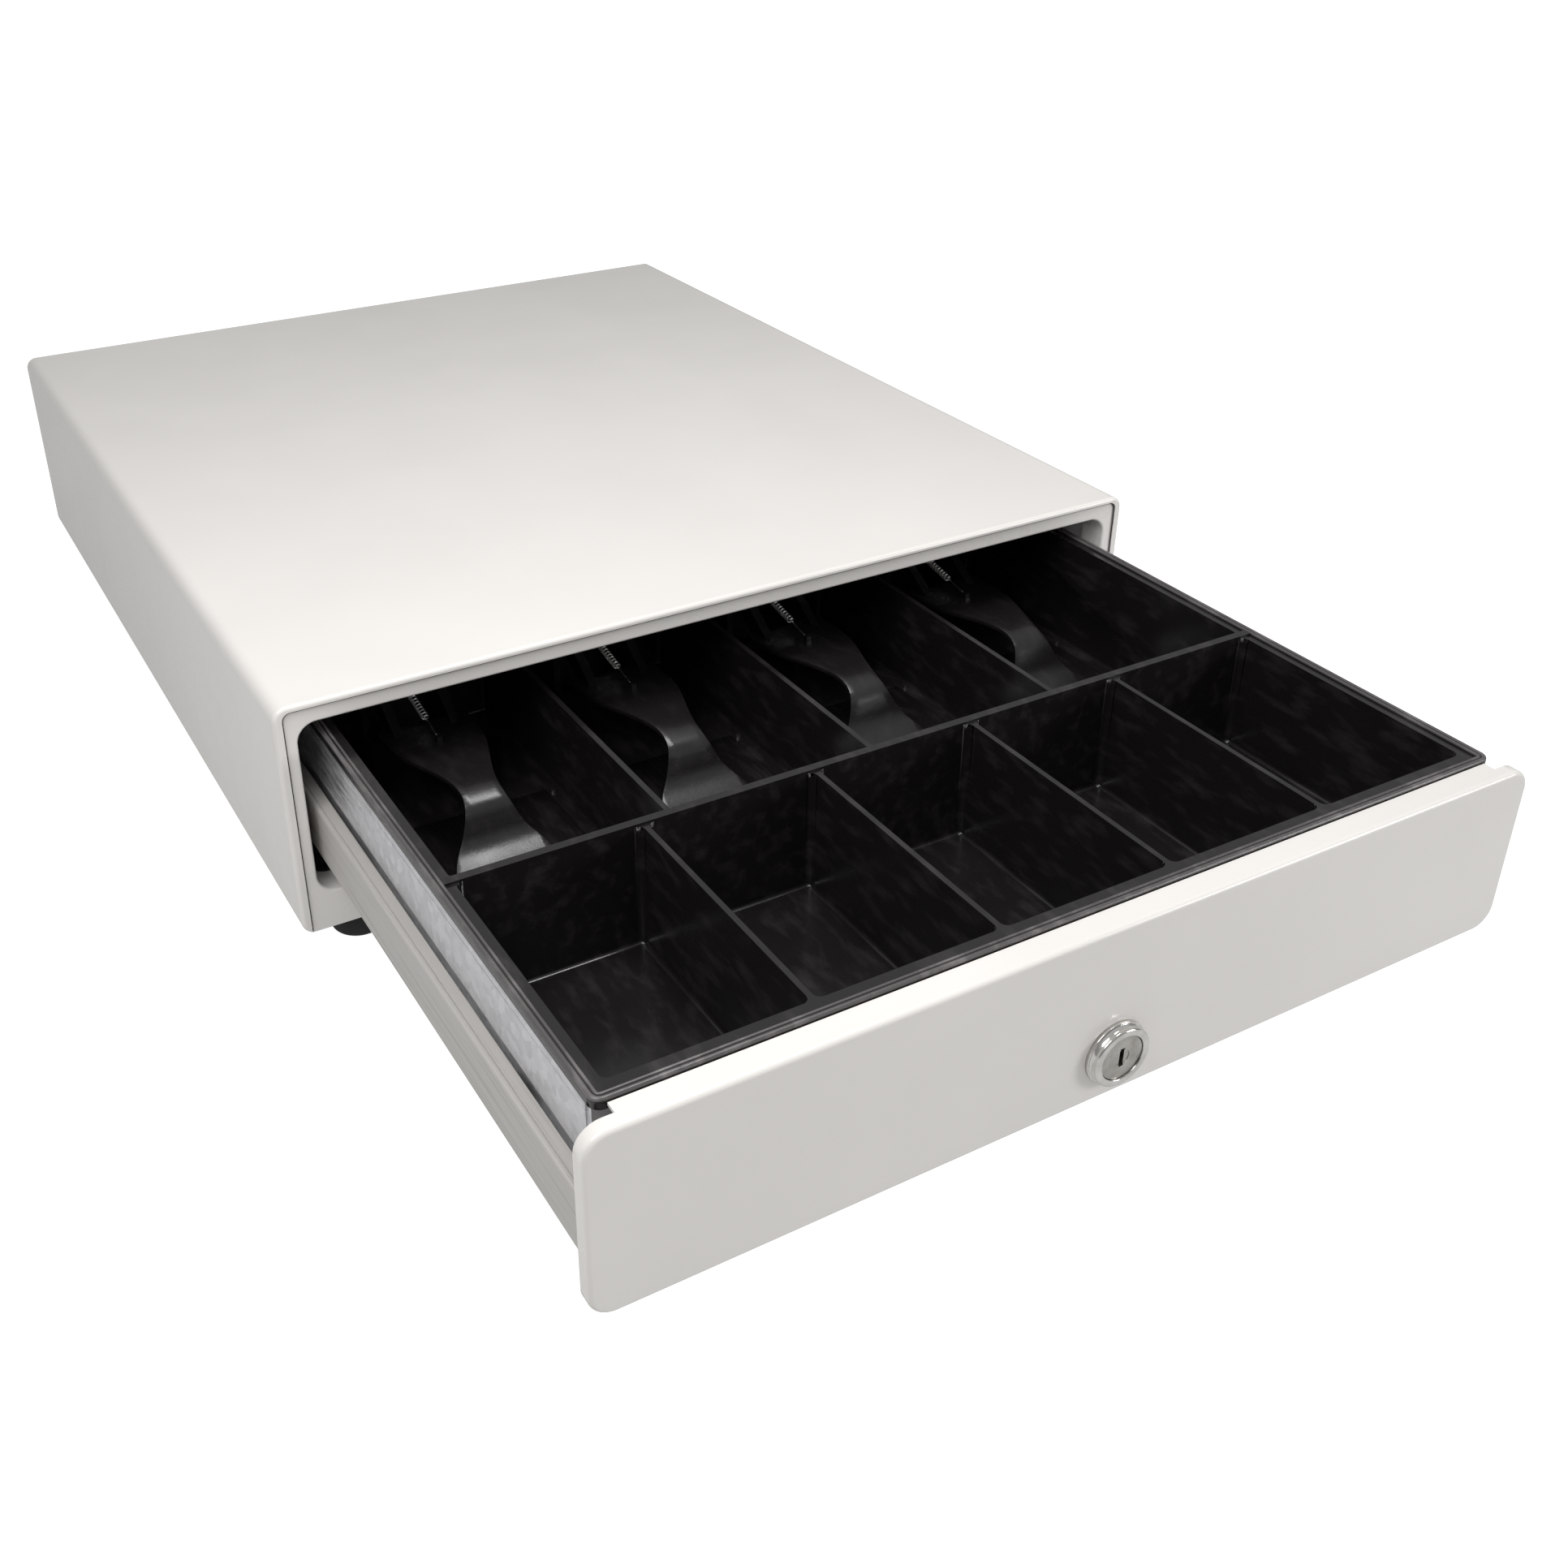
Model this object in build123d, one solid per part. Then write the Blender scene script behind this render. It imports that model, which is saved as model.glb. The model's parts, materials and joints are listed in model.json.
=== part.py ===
from build123d import *
import math
import os

# A shop cash drawer: a folded steel cabinet with a drawer that rolls out of its
# front on slightly sloping runners. The drawer carries a moulded till insert with
# coin cups, note compartments and sprung note clips. A solenoid latch, a kick-out
# plunger and a key lock work it.
#
# Millimetres. +Z is up and -Y is the way the drawer opens. The origin is the
# middle of the cabinet's flat underside. The drawer is drawn part open.

# ---- driving sizes ----
cabinet_width = 350.0
cabinet_depth = 405.0
cabinet_height = 88.5
sheet = 1.0                       # steel of the cabinet and the drawer front
bend_radius = 5.0                 # outer bends of the cabinet cover
drawer_open = 203.5               # how far the drawer stands out as drawn
runner_slope = 1.75               # degrees the runners fall towards the front
fit_gap = 0.3                     # clearance between neighbouring pieces

# ---- cabinet ----
front_y = -cabinet_depth / 2
back_y = cabinet_depth / 2
inside_half = cabinet_width / 2 - sheet
lip_side = 3.0                    # width of the cover's rounded front lip
lip_top = 2.0
lip_depth = 4.0
lip_round = 1.4
under_flange = 16.0               # how far the cover folds in under the base
base_sheet = 1.2
fascia_recess = 1.0
fascia_sheet = 1.5
fascia_return = 12.0              # depth of the flange that lines the opening
opening_half = 167.6
opening_low = 14.7
opening_high = 80.4
opening_radius = 7.0
foot_radius = 10.0
foot_height = 10.0
foot_bore = 2.0                   # screw hole through a foot and the base
foot_recess = 4.2                 # recess for the foot screw's head
rivet_radius = 1.6
fixing_x = 110.0                  # holes for screwing the cabinet to a counter
fixing_y = 150.0
fixing_radius = 2.25
foot_inset_x = 23.0
foot_inset_y = 12.5

# ---- drawer ----
slope = math.tan(math.radians(runner_slope))
drop = drawer_open * slope        # the drawer is this much lower than when shut
face_y = front_y - drawer_open    # front face of the drawer front
panel_half = 166.2
panel_height = 61.2
panel_low = (opening_low + opening_high - panel_height) / 2 - drop
panel_high = panel_low + panel_height
panel_corner = 8.0
panel_flange = 5.0                # depth of the folded edge all round
shelf_half = 154.7                # the deeper part of the top edge
shelf_depth = 8.9

rail_half = 164.0
rail_width = 5.3
rail_low = panel_low + 15.75
rail_height = 19.8
tray_sheet = 0.8
tray_half = 157.2                 # outside of the tray's side walls
tray_front = face_y + 13.1
tray_back = face_y + 278.8
tray_low = panel_low + 11.45
tray_high = panel_low + 58.75

# ---- till insert ----
wall = 1.8
rim_half = 158.4
rim_front = face_y + 9.3
rim_back = face_y + 277.4
rim_high = panel_low + 62.05
rim_thick = 3.2
rim_bead = 2.6
cup_half = 152.35                 # inside of the compartments at the top
cup_front = face_y + 16.3
cross_y = face_y + 110.4
cross_thick = 3.0
note_back = face_y + 269.5
floor_high = panel_low + 18.35
divider_thick = 1.8
note_divider_high = panel_low + 53.75
cup_count = 5
note_count = 4
draft_angle = 0.6
cup_pitch = 2 * cup_half / cup_count
note_pitch = 2 * cup_half / note_count

# ---- note clips and their springs ----
clip_hinge_y = face_y + 259.5
clip_hinge_z = panel_low + 51.75
clip_thick = 1.6
clip_pin_radius = 1.25
clip_crest = face_y + 191.0       # where the clip's hump is highest
hook_y = face_y + 224.5
hook_z = panel_low + 40.7
anchor_y = face_y + 265.5
anchor_z = panel_low + 48.25
coil_radius = 1.5
wire_radius = 0.25

# ---- lock ----
lock_x = 1.4
lock_z = panel_low + 16.4
lock_flange_radius = 10.6
lock_ring_radius = 10.0
lock_barrel_radius = 9.0
lock_bore_radius = 7.5
lock_plug_radius = 7.44
lock_stand = 4.0                  # how far the lock stands out of the drawer front
lock_cam_y = face_y + 8.6         # front of the cam behind the drawer front

# ---- rolling gear ----
roller_radius = 6.0
roller_pin_radius = 1.5
front_roller_y = front_y + 22.0
front_roller_x = 130.0
tread_z = 18.4                    # underside of the tray's runners at the roller
rear_roller_y = face_y + 272.0
rear_roller_z = panel_low + 25.25
channel_inner = 2 * roller_radius + 0.6

# ---- latch gear at the back of the cabinet ----
shut_back = tray_back + drawer_open
pivot_y = shut_back + 51.0
pivot_z = 56.0
striker_y = tray_back + 14.0
striker_z = 42.0
solenoid_y = pivot_y + 22.0
plunger_travel = 4.0
solenoid_low = base_sheet + 1.5
solenoid_high = solenoid_low + 34.0

# ---- kick-out plunger, snap switch and cable socket ----
ejector_x = 60.0
ejector_z = 48.0
ejector_travel = 24.0
ejector_front = shut_back + 6.0
ejector_back = ejector_front + 52.0
switch_x = -60.0
switch_z = 42.0
switch_gap = 7.8                  # from the shut tray to the switch body
socket_x = -90.0
socket_z = 32.0
socket_screw_x = 11.0             # from the socket's middle to its screws


def box(x0, x1, y0, y1, z0, z1):
    """Block between two corners."""
    centre = ((x0 + x1) / 2, (y0 + y1) / 2, (z0 + z1) / 2)
    return Pos(*centre) * Box(abs(x1 - x0), abs(y1 - y0), abs(z1 - z0))


def along_y(sketch, x, z, y0, y1):
    """Outline drawn in X and Z, pushed back from y0 to y1."""
    plane = Plane((x, y1, z), x_dir=(1, 0, 0), z_dir=(0, -1, 0))
    return extrude(plane * sketch, amount=y1 - y0)


def along_x(sketch, y, z, x0, x1):
    """Outline drawn in Y and Z, pushed from x0 to x1."""
    plane = Plane((x0, y, z), x_dir=(0, 1, 0), z_dir=(1, 0, 0))
    return extrude(plane * sketch, amount=x1 - x0)


def rod_x(radius, y, z, x0, x1):
    """Round bar lying along X."""
    return along_x(Circle(radius), y, z, x0, x1)


def rod_y(radius, x, z, y0, y1):
    """Round bar lying along Y."""
    return along_y(Circle(radius), x, z, y0, y1)


def rod_z(radius, x, y, z0, z1):
    """Upright round bar."""
    return Pos(x, y, (z0 + z1) / 2) * Cylinder(radius, z1 - z0)


def bar_between(radius, start, end):
    """Round bar from one point to another."""
    line = Line(start, end)
    plane = Plane(start, z_dir=line % 0)
    return extrude(plane * Circle(radius), amount=line.length)


def mirrored(solid):
    """The piece and its twin on the other side of the middle plane."""
    return [solid, mirror(solid, about=Plane.YZ)]


def save(name, pieces):
    """Write one node; a node may hold several separate solids."""
    if not isinstance(pieces, list):
        pieces = [pieces]
    solids = []
    for piece in pieces:
        solids.extend(piece.solids())
    shape = solids[0] if len(solids) == 1 else Compound(children=solids)
    export_step(shape, "parts/" + name + ".step")
    print(name, len(solids), round(sum(s.volume for s in solids)))


# ---------------- cabinet ----------------

def cabinet_cover():
    """Wrap-round steel sheet: top, sides, folded-in bottom edges and a front lip."""
    middle_z = cabinet_height / 2
    outside = RectangleRounded(cabinet_width, cabinet_height, bend_radius)
    hollow_w = cabinet_width - 2 * sheet
    hollow_h = cabinet_height - 2 * sheet
    hollow = RectangleRounded(hollow_w, hollow_h, bend_radius - sheet)
    body = along_y(outside, 0, middle_z, front_y, back_y)
    rim = body.edges().filter_by_position(Axis.Y, front_y - 0.01, front_y + 0.01)
    body = fillet(rim, lip_round)
    mouth_high = cabinet_height - lip_top
    mouth = RectangleRounded(cabinet_width - 2 * lip_side, mouth_high - sheet, 3.0)
    mouth = Pos(0, (mouth_high + sheet) / 2 - middle_z) * mouth
    body -= along_y(mouth, 0, middle_z, front_y - 1, front_y + lip_depth + 1)
    body -= along_y(hollow, 0, middle_z, front_y + lip_depth, back_y + 1)
    half = cabinet_width / 2 - lip_side
    body -= box(-half, half, front_y - 1, front_y + lip_depth, -1, lip_side)
    half = cabinet_width / 2 - under_flange
    return body - box(-half, half, front_y - 1, back_y + 1, -1, sheet + 0.01)


def base_pan():
    """Bottom sheet: it drops between the cover's flanges and laps over them."""
    half = cabinet_width / 2 - under_flange - fit_gap
    y0 = front_y + lip_depth + 1.0
    y1 = back_y - 2.0
    lap_low = sheet + 0.1
    lap_high = lap_low + base_sheet
    pan = box(-half, half, y0, y1, 0, base_sheet)
    for side in mirrored(box(half - 2.0, half, y0, y1, 0, lap_high)):
        pan += side
    for side in mirrored(box(half - 0.5, inside_half - 4.5, y0, y1, lap_low, lap_high)):
        pan += side
    for x, y in rivet_places():
        pan -= rod_z(rivet_radius + 0.1, x, y, -1, 5)
    for x, y in fixing_places():
        pan -= rod_z(fixing_radius, x, y, -1, 5)
    for x, y in foot_places():
        pan -= rod_z(foot_bore, x, y, -1, 5)
    return pan


def rivet_places():
    """The six rivets that hold the cover's bottom flanges to the base."""
    x = cabinet_width / 2 - under_flange / 2
    return [(s * x, y) for s in (-1, 1) for y in (-150.0, 0.0, 150.0)]


def fixing_places():
    """Four holes for screwing the cabinet down to a counter."""
    return [(sx * fixing_x, sy * fixing_y) for sx in (-1, 1) for sy in (-1, 1)]


def foot_places():
    """Centres of the four feet."""
    x = cabinet_width / 2 - foot_inset_x
    y = cabinet_depth / 2 - foot_inset_y
    return [(sx * x, sy * y) for sx in (-1, 1) for sy in (-1, 1)]


def cover_with_holes():
    """The cover, drilled for the rivets of its bottom flanges."""
    cover = cabinet_cover()
    for x, y in rivet_places():
        cover -= rod_z(rivet_radius + 0.1, x, y, -1, 5)
    return cover


def cover_rivets():
    """Flat-headed rivets, from below."""
    top = sheet + 0.1 + base_sheet
    rivets = []
    for x, y in rivet_places():
        head = rod_z(3.0, x, y, -0.8, 0)
        shank = rod_z(rivet_radius, x, y, -0.4, top)
        tail = rod_z(2.4, x, y, top, top + 0.7)
        rivets.append(head + shank + tail)
    return rivets


def foot_solid(x, y):
    """Round rubber foot with a softened lower edge and a screw recess."""
    foot = rod_z(foot_radius, x, y, -foot_height, 0)
    low = foot.edges().filter_by_position(Axis.Z, -foot_height - 0.01, -foot_height + 0.01)
    foot = fillet(low, 2.5)
    foot -= rod_z(foot_bore, x, y, -foot_height - 1, 1)
    return foot - rod_z(foot_recess, x, y, -foot_height - 1, -foot_height + 4.5)


def feet():
    """Four rubber feet."""
    return [foot_solid(x, y) for x, y in foot_places()]


def foot_screws():
    """One pan-head screw and its nut hold each foot."""
    screws = []
    for x, y in foot_places():
        head = rod_z(3.6, x, y, -foot_height + 2.5, -foot_height + 4.5)
        shank = rod_z(1.9, x, y, -foot_height + 4.0, base_sheet + 3.5)
        nut = rod_z(3.4, x, y, base_sheet, base_sheet + 2.4)
        screws.append(head + shank + nut)
    return screws


def front_fascia():
    """Frame round the drawer opening, with a flange folded in all round it."""
    y0 = front_y + fascia_recess
    low = -lip_side
    high = cabinet_height - lip_top - 0.25
    half = cabinet_width / 2 - lip_side - 0.25
    middle = (low + high) / 2
    plate = along_y(RectangleRounded(2 * half, high - low, 3.0), 0, middle, y0, y0 + fascia_sheet)
    plate -= box(-half - 1, half + 1, y0 - 1, y0 + fascia_sheet + 1, low - 1, 0.2)
    hole_mid = (opening_low + opening_high) / 2
    wide = 2 * opening_half
    tall = opening_high - opening_low
    hole = RectangleRounded(wide, tall, opening_radius)
    ring = RectangleRounded(wide + 2 * sheet, tall + 2 * sheet, opening_radius + sheet)
    plate += along_y(ring, 0, hole_mid, y0, y0 + fascia_return)
    plate -= along_y(hole, 0, hole_mid, y0 - 1, y0 + fascia_return + 1)
    slot_y = front_y + (lock_cam_y - face_y)
    plate -= box(lock_x - 13, lock_x + 13, slot_y - 1.5, slot_y + 3.0, opening_low - 3, opening_low + 0.2)
    edges = plate.edges().filter_by_position(Axis.Y, y0 - 0.01, y0 + 0.01)
    inner = [e for e in edges if abs(e.center().X) < opening_half + 1 and
             opening_low - 1 < e.center().Z < opening_high + 1]
    return fillet(inner, 0.9)


def back_panel():
    """Rear sheet, set in a little, with a socket window and vent slots."""
    y1 = back_y - 0.5
    low = sheet + 0.1 + base_sheet + 0.2
    high = cabinet_height - sheet - 0.2
    half = inside_half - 0.3
    middle = (low + high) / 2
    plate = along_y(RectangleRounded(2 * half, high - low, 4.0), 0, middle, y1 - sheet, y1)
    window = along_y(Rectangle(15.0, 13.0), socket_x, socket_z, y1 - 5, y1 + 1)
    plate -= window
    for side in (-1, 1):
        plate -= rod_y(1.6, socket_x + side * socket_screw_x, socket_z, y1 - 5, y1 + 1)
    for n in range(6):
        slot = SlotOverall(26.0, 3.0, rotation=90)
        plate -= along_y(slot, 60.0 + 8.0 * n, 45.0, y1 - 5, y1 + 1)
    return plate


def socket():
    """Six-way cable socket, flush with the rear sheet."""
    y1 = back_y
    body = box(socket_x - 7.3, socket_x + 7.3, y1 - 16.0, y1, socket_z - 6.3, socket_z + 6.3)
    flange_y = y1 - 0.5 - sheet
    flange = along_y(Rectangle(30.0, 11.0), socket_x, socket_z, flange_y - 2.0, flange_y)
    body += flange
    body -= box(socket_x - 5.0, socket_x + 5.0, y1 - 12.0, y1 + 1, socket_z - 3.4, socket_z + 3.4)
    for side in (-1, 1):
        body -= rod_y(1.3, socket_x + side * socket_screw_x, socket_z, flange_y - 3, flange_y + 1)
    return body


def socket_screws():
    """Two small screws through the rear sheet into the socket's flange."""
    y1 = back_y - 0.5
    screws = []
    for side in (-1, 1):
        x = socket_x + side * socket_screw_x
        head = rod_y(2.6, x, socket_z, y1, y1 + 1.6)
        shank = rod_y(1.25, x, socket_z, y1 - 5.0, y1 + 1.0)
        screws.append(head + shank)
    return screws


def channel_middle(y):
    """Height of a runner channel's middle line at a given y."""
    return rear_roller_z + (y - rear_roller_y) * slope


def runner():
    """Left side channel that the drawer's rear roller runs in."""
    y0 = front_y + 14.0
    y1 = shut_back + 8.0
    x0 = -inside_half + 0.02
    x1 = -166.3
    half = channel_inner / 2
    section = Rectangle(x1 - x0, 2 * half + 2 * sheet)
    section -= Pos(sheet, 0) * Rectangle(x1 - x0, 2 * half)
    straight = along_y(section, (x0 + x1) / 2, 0, 0, (y1 - y0) / math.cos(math.radians(runner_slope)))
    return Pos(0, y0, channel_middle(y0)) * Rot(runner_slope, 0, 0) * straight


def front_roller_brackets():
    """Two small brackets on the base that carry the front rollers."""
    y0 = front_roller_y - 6.0
    y1 = front_roller_y + 6.0
    x = front_roller_x
    top = tread_z - 2.6
    foot = box(x - 6.4, x + 6.4, y0, y1, base_sheet, base_sheet + sheet)
    near = box(x - 6.4, x - 5.4, y0, y1, base_sheet, top)
    far = box(x + 5.4, x + 6.4, y0, y1, base_sheet, top)
    bracket = foot + near + far
    bracket -= rod_x(roller_pin_radius + 0.02, front_roller_y, front_roller_z(), x - 9, x + 9)
    return mirrored(bracket)


def front_roller_z():
    """Height of the front rollers' axis."""
    return tread_z - fit_gap - roller_radius


def front_roller_pins():
    """Pins of the front rollers, headed at both ends."""
    x = front_roller_x
    pin = rod_x(roller_pin_radius, front_roller_y, front_roller_z(), x - 6.6, x + 6.6)
    for side in (-1, 1):
        inner = x + side * 6.5
        outer = x + side * 7.3
        pin += rod_x(2.3, front_roller_y, front_roller_z(), min(inner, outer), max(inner, outer))
    return mirrored(pin)


def front_roller():
    """Right front roller: a nylon wheel with a running bore."""
    x = front_roller_x
    wheel = rod_x(roller_radius, front_roller_y, front_roller_z(), x - 4.8, x + 4.8)
    return wheel - rod_x(roller_pin_radius + 0.06, front_roller_y, front_roller_z(), x - 9, x + 9)


# ---------------- latch gear ----------------

def latch_bracket():
    """Upright bracket on the base, with two ears for the latch's pivot."""
    foot = box(-24, 24, pivot_y - 12, solenoid_y + 22, base_sheet, base_sheet + 1.5)
    ears = []
    for x in (-9.0, 7.5):
        ears.append(box(x, x + 1.5, pivot_y - 7, pivot_y + 7, base_sheet, pivot_z + 6))
    back = box(-9.0, 9.0, pivot_y + 5.5, pivot_y + 7.0, base_sheet, pivot_z - 16)
    bracket = foot + ears[0] + ears[1] + back
    bracket -= rod_x(2.0, pivot_y, pivot_z, -20, 20)
    return bracket


def latch_pin():
    """Pin that the latch lever swings on."""
    return rod_x(1.98, pivot_y, pivot_z, -10.5, 10.5)


def latch_lever():
    """Lever whose nose hooks over the striker and whose tail the plunger pulls."""
    bar_y = striker_y + drawer_open
    bar_z = striker_z + drop
    nose_y = bar_y - 4.6
    arm = box(-3, 3, nose_y - 4.0, pivot_y + 4, pivot_z - 2, pivot_z + 5)
    nose = box(-3, 3, nose_y - 4.0, nose_y + 1.2, bar_z - 4.5, pivot_z + 3)
    hub = rod_x(6.0, pivot_y, pivot_z, -3, 3)
    tail = box(-3, 3, pivot_y, solenoid_y + 5.5, pivot_z - 2.5, pivot_z + 3.5)
    lever = arm + nose + hub + tail
    lever -= rod_x(2.05, pivot_y, pivot_z, -20, 20)
    slot = SlotOverall(7.0, 3.8)
    return lever - along_x(slot, solenoid_y, pivot_z + 0.3, -20, 20)


def solenoid_frame():
    """Bent steel yoke round the coil."""
    low = solenoid_low
    high = solenoid_high
    y0 = solenoid_y - 13.0
    y1 = solenoid_y + 13.0
    yoke = box(-14, 14, y0, y1, low, low + 2)
    yoke += box(-14, 14, y1 - 2, y1, low, high)
    yoke += box(-14, 14, y0, y1, high - 2, high)
    return yoke - rod_z(5.3, 0, solenoid_y, high - 5, high + 5)


def solenoid_coil():
    """Wound coil on its bobbin, with the bore the plunger slides in."""
    low = solenoid_low + 2.1
    high = solenoid_high - 2.1
    coil = rod_z(9.8, 0, solenoid_y, low, high)
    coil += rod_z(10.8, 0, solenoid_y, low, low + 1.5)
    coil += rod_z(10.8, 0, solenoid_y, high - 1.5, high)
    return coil - rod_z(5.0, 0, solenoid_y, low + 6.0, high + 1)


def solenoid_plunger():
    """Plunger with a forked head pinned to the lever's tail."""
    rod = rod_z(4.92, 0, solenoid_y, solenoid_low + 9.3 + plunger_travel, pivot_z - 5.0)
    fork = []
    for x0, x1 in ((-5.6, -3.4), (3.4, 5.6)):
        fork.append(box(x0, x1, solenoid_y - 3.4, solenoid_y + 3.4, pivot_z - 6.5, pivot_z + 4))
    yoke = box(-5.6, 5.6, solenoid_y - 3.4, solenoid_y + 3.4, pivot_z - 8.5, pivot_z - 5.0)
    pin = rod_x(1.5, solenoid_y, pivot_z + 0.3, -5.6, 5.6)
    washer = rod_z(7.2, 0, solenoid_y, pivot_z - 8.5, pivot_z - 7.3)
    return rod + yoke + washer + fork[0] + fork[1] + pin


def plunger_spring():
    """Return spring of the plunger, drawn as the sleeve its coils fill."""
    high = pivot_z - 8.5
    sleeve = rod_z(7.0, 0, solenoid_y, solenoid_high, high)
    return sleeve - rod_z(6.1, 0, solenoid_y, solenoid_high - 1, high + 1)


def ejector_barrel():
    """Spring housing that kicks the drawer open, on its own foot."""
    x = ejector_x
    z = ejector_z
    y0 = ejector_front
    y1 = ejector_back
    barrel = rod_y(8.0, x, z, y0, y1) - rod_y(6.6, x, z, y0 + 1.6, y1 - 1.6)
    barrel -= rod_y(3.58, x, z, y0 - 1, y0 + 4)
    stand = box(x - 1.5, x + 1.5, y0 + 10, y1 - 10, base_sheet, z - 7.0)
    foot = box(x - 11, x + 11, y0 + 8, y1 - 8, base_sheet, base_sheet + 1.5)
    return barrel + (stand + foot - rod_y(7.0, x, z, y0, y1))


def ejector_plunger():
    """Plunger inside the housing, with a round head that meets the tray."""
    x = ejector_x
    y0 = ejector_front
    piston_y = y0 + 1.6 + ejector_travel + 0.6
    rod = rod_y(3.5, x, ejector_z, y0 - 2.4, piston_y + 2)
    piston = rod_y(6.25, x, ejector_z, piston_y, piston_y + 4)
    head = rod_y(6.0, x, ejector_z, y0 - 5.0, y0 - 2.0)
    return rod + piston + head


def ejector_spring():
    """Kick-out spring behind the piston, drawn as the sleeve its coils fill."""
    start = ejector_front + 1.6 + ejector_travel + 0.6 + 4.2
    end = ejector_back - 1.8
    sleeve = rod_y(6.2, ejector_x, ejector_z, start, end)
    return sleeve - rod_y(4.8, ejector_x, ejector_z, start - 1, end + 1)


def switch_body():
    """Small snap switch that tells the till the drawer is shut, on a bracket."""
    y0 = shut_back + switch_gap
    body = box(switch_x - 3.2, switch_x + 3.2, y0, y0 + 10.0, switch_z - 10, switch_z + 10)
    body += box(switch_x - 0.4, switch_x + 0.4, y0 + 9.5, y0 + 14.0, switch_z - 7, switch_z - 5)
    body += box(switch_x - 0.4, switch_x + 0.4, y0 + 9.5, y0 + 14.0, switch_z + 5, switch_z + 7)
    lug = box(switch_x - 1.0, switch_x + 1.0, y0 - 3.0, y0 + 0.2, switch_z - 9.6, switch_z - 6.4)
    body += lug
    return body - rod_x(0.76, y0 - 1.6, switch_z - 8.0, switch_x - 5, switch_x + 5)


def switch_bracket():
    """Angle that carries the snap switch."""
    y0 = shut_back + switch_gap
    upright = box(switch_x + 3.4, switch_x + 4.6, y0 - 1, y0 + 11, base_sheet, switch_z + 8)
    foot = box(switch_x + 3.4, switch_x + 17, y0 - 1, y0 + 11, base_sheet, base_sheet + 1.2)
    return upright + foot


def switch_lever():
    """Spring-steel lever on the switch, pressed by the tray when it is shut."""
    y0 = shut_back + switch_gap
    leaf = box(switch_x - 2.6, switch_x + 2.6, y0 - 3.9, y0 - 3.3, switch_z - 9.0, switch_z + 9)
    ears = []
    for x0, x1 in ((-2.6, -1.2), (1.2, 2.6)):
        ears.append(box(switch_x + x0, switch_x + x1, y0 - 3.6, y0 - 0.6, switch_z - 9.4, switch_z - 6.6))
    pin = rod_x(0.7, y0 - 1.6, switch_z - 8.0, switch_x - 2.6, switch_x + 2.6)
    roller = rod_x(1.8, y0 - 5.4, switch_z + 7.0, switch_x - 2.2, switch_x + 2.2)
    return leaf + ears[0] + ears[1] + pin + roller


# ---------------- drawer ----------------

def drawer_front():
    """Folded drawer front: rounded corners, a shallow edge, a deeper top shelf."""
    middle = (panel_low + panel_high) / 2
    outline = RectangleRounded(2 * panel_half, panel_height, panel_corner)
    block = along_y(outline, 0, middle, face_y, face_y + panel_flange)
    front = block.edges().filter_by_position(Axis.Y, face_y - 0.01, face_y + 0.01)
    block = fillet(front, 1.6)
    inner = RectangleRounded(2 * (panel_half - sheet), panel_height - 2 * sheet, panel_corner - sheet)
    block -= along_y(inner, 0, middle, face_y + sheet, face_y + panel_flange + 1)
    block += box(-shelf_half, shelf_half, face_y + 3.0, face_y + shelf_depth, panel_high - sheet, panel_high)
    return block - rod_y(lock_barrel_radius, lock_x, lock_z, face_y - 1, face_y + 5)


def drawer_tray():
    """Galvanised tray: floor, four walls and a hem along each side wall."""
    outer = box(-tray_half, tray_half, tray_front, tray_back, tray_low, tray_high)
    inner_half = tray_half - tray_sheet
    outer -= box(-inner_half, inner_half, tray_front + tray_sheet, tray_back - tray_sheet,
                 tray_low + tray_sheet, tray_high + 1)
    hem_low = tray_low + 26.0
    hem_line = tray_low + 43.3
    for low, high in ((hem_low, hem_line - 0.1), (hem_line + 0.1, tray_high)):
        hem = box(-tray_half - 0.6, -tray_half + 0.2, tray_front + 2, tray_back - 2, low, high)
        for side in mirrored(hem):
            outer += side
    notch = box(-14, 14, tray_front - 1, tray_front + 2, tray_low - 1, lock_z + 11)
    return outer - notch


def front_brackets():
    """Two Z-shaped straps that tie the drawer front to the tray."""
    y0 = face_y + sheet + 0.02
    y1 = tray_front - 0.02
    z0 = tray_low + 8
    z1 = z0 + 26
    x = 95.0
    strap = box(x - 12, x, y0, y0 + 1.2, z0, z1)
    strap += box(x - 1.2, x, y0, y1, z0, z1)
    strap += box(x - 1.2, x + 12, y1 - 1.2, y1, z0, z1)
    return mirrored(strap)


def side_rail():
    """Painted left rail beside the tray: a web, a rounded top edge and a top strip."""
    y0 = face_y + sheet + 0.02
    y1 = tray_back - 1.0
    x0 = -rail_half
    x1 = -rail_half + rail_width
    high = rail_low + rail_height
    rail = box(x0, x0 + sheet, y0, y1, rail_low, high - 0.5)
    rail += box(x0, x1, y0, y1, high - sheet, high)
    bend = rail.edges().filter_by(Axis.Y).sort_by(Axis.Z)[-2:]
    corner = [e for e in bend if abs(e.center().X - x0) < 0.1]
    rail = fillet(corner, 0.9)
    rail -= box(x0 + 1.5, x0 + 1.9, y0 + 5, y1 - 5, high - 0.35, high + 1)
    tab = box(x0 + 0.2, -tray_half - 0.05, y0 + 60, y0 + 75, rail_low + 0.2, rail_low + 1.2)
    rail += tab
    tab_back = box(x0 + 0.2, -tray_half - 0.05, y1 - 40, y1 - 25, rail_low + 0.2, rail_low + 1.2)
    rail += tab_back
    rail -= box(x0 - 1, x0 + 0.9, y0 - 1, y0 + 3.2, high - 2.2, high - 1.0)
    return rail - rod_x(roller_pin_radius + 0.02, rear_roller_y, rear_roller_z, x0 - 2, x0 + 2)


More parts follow.
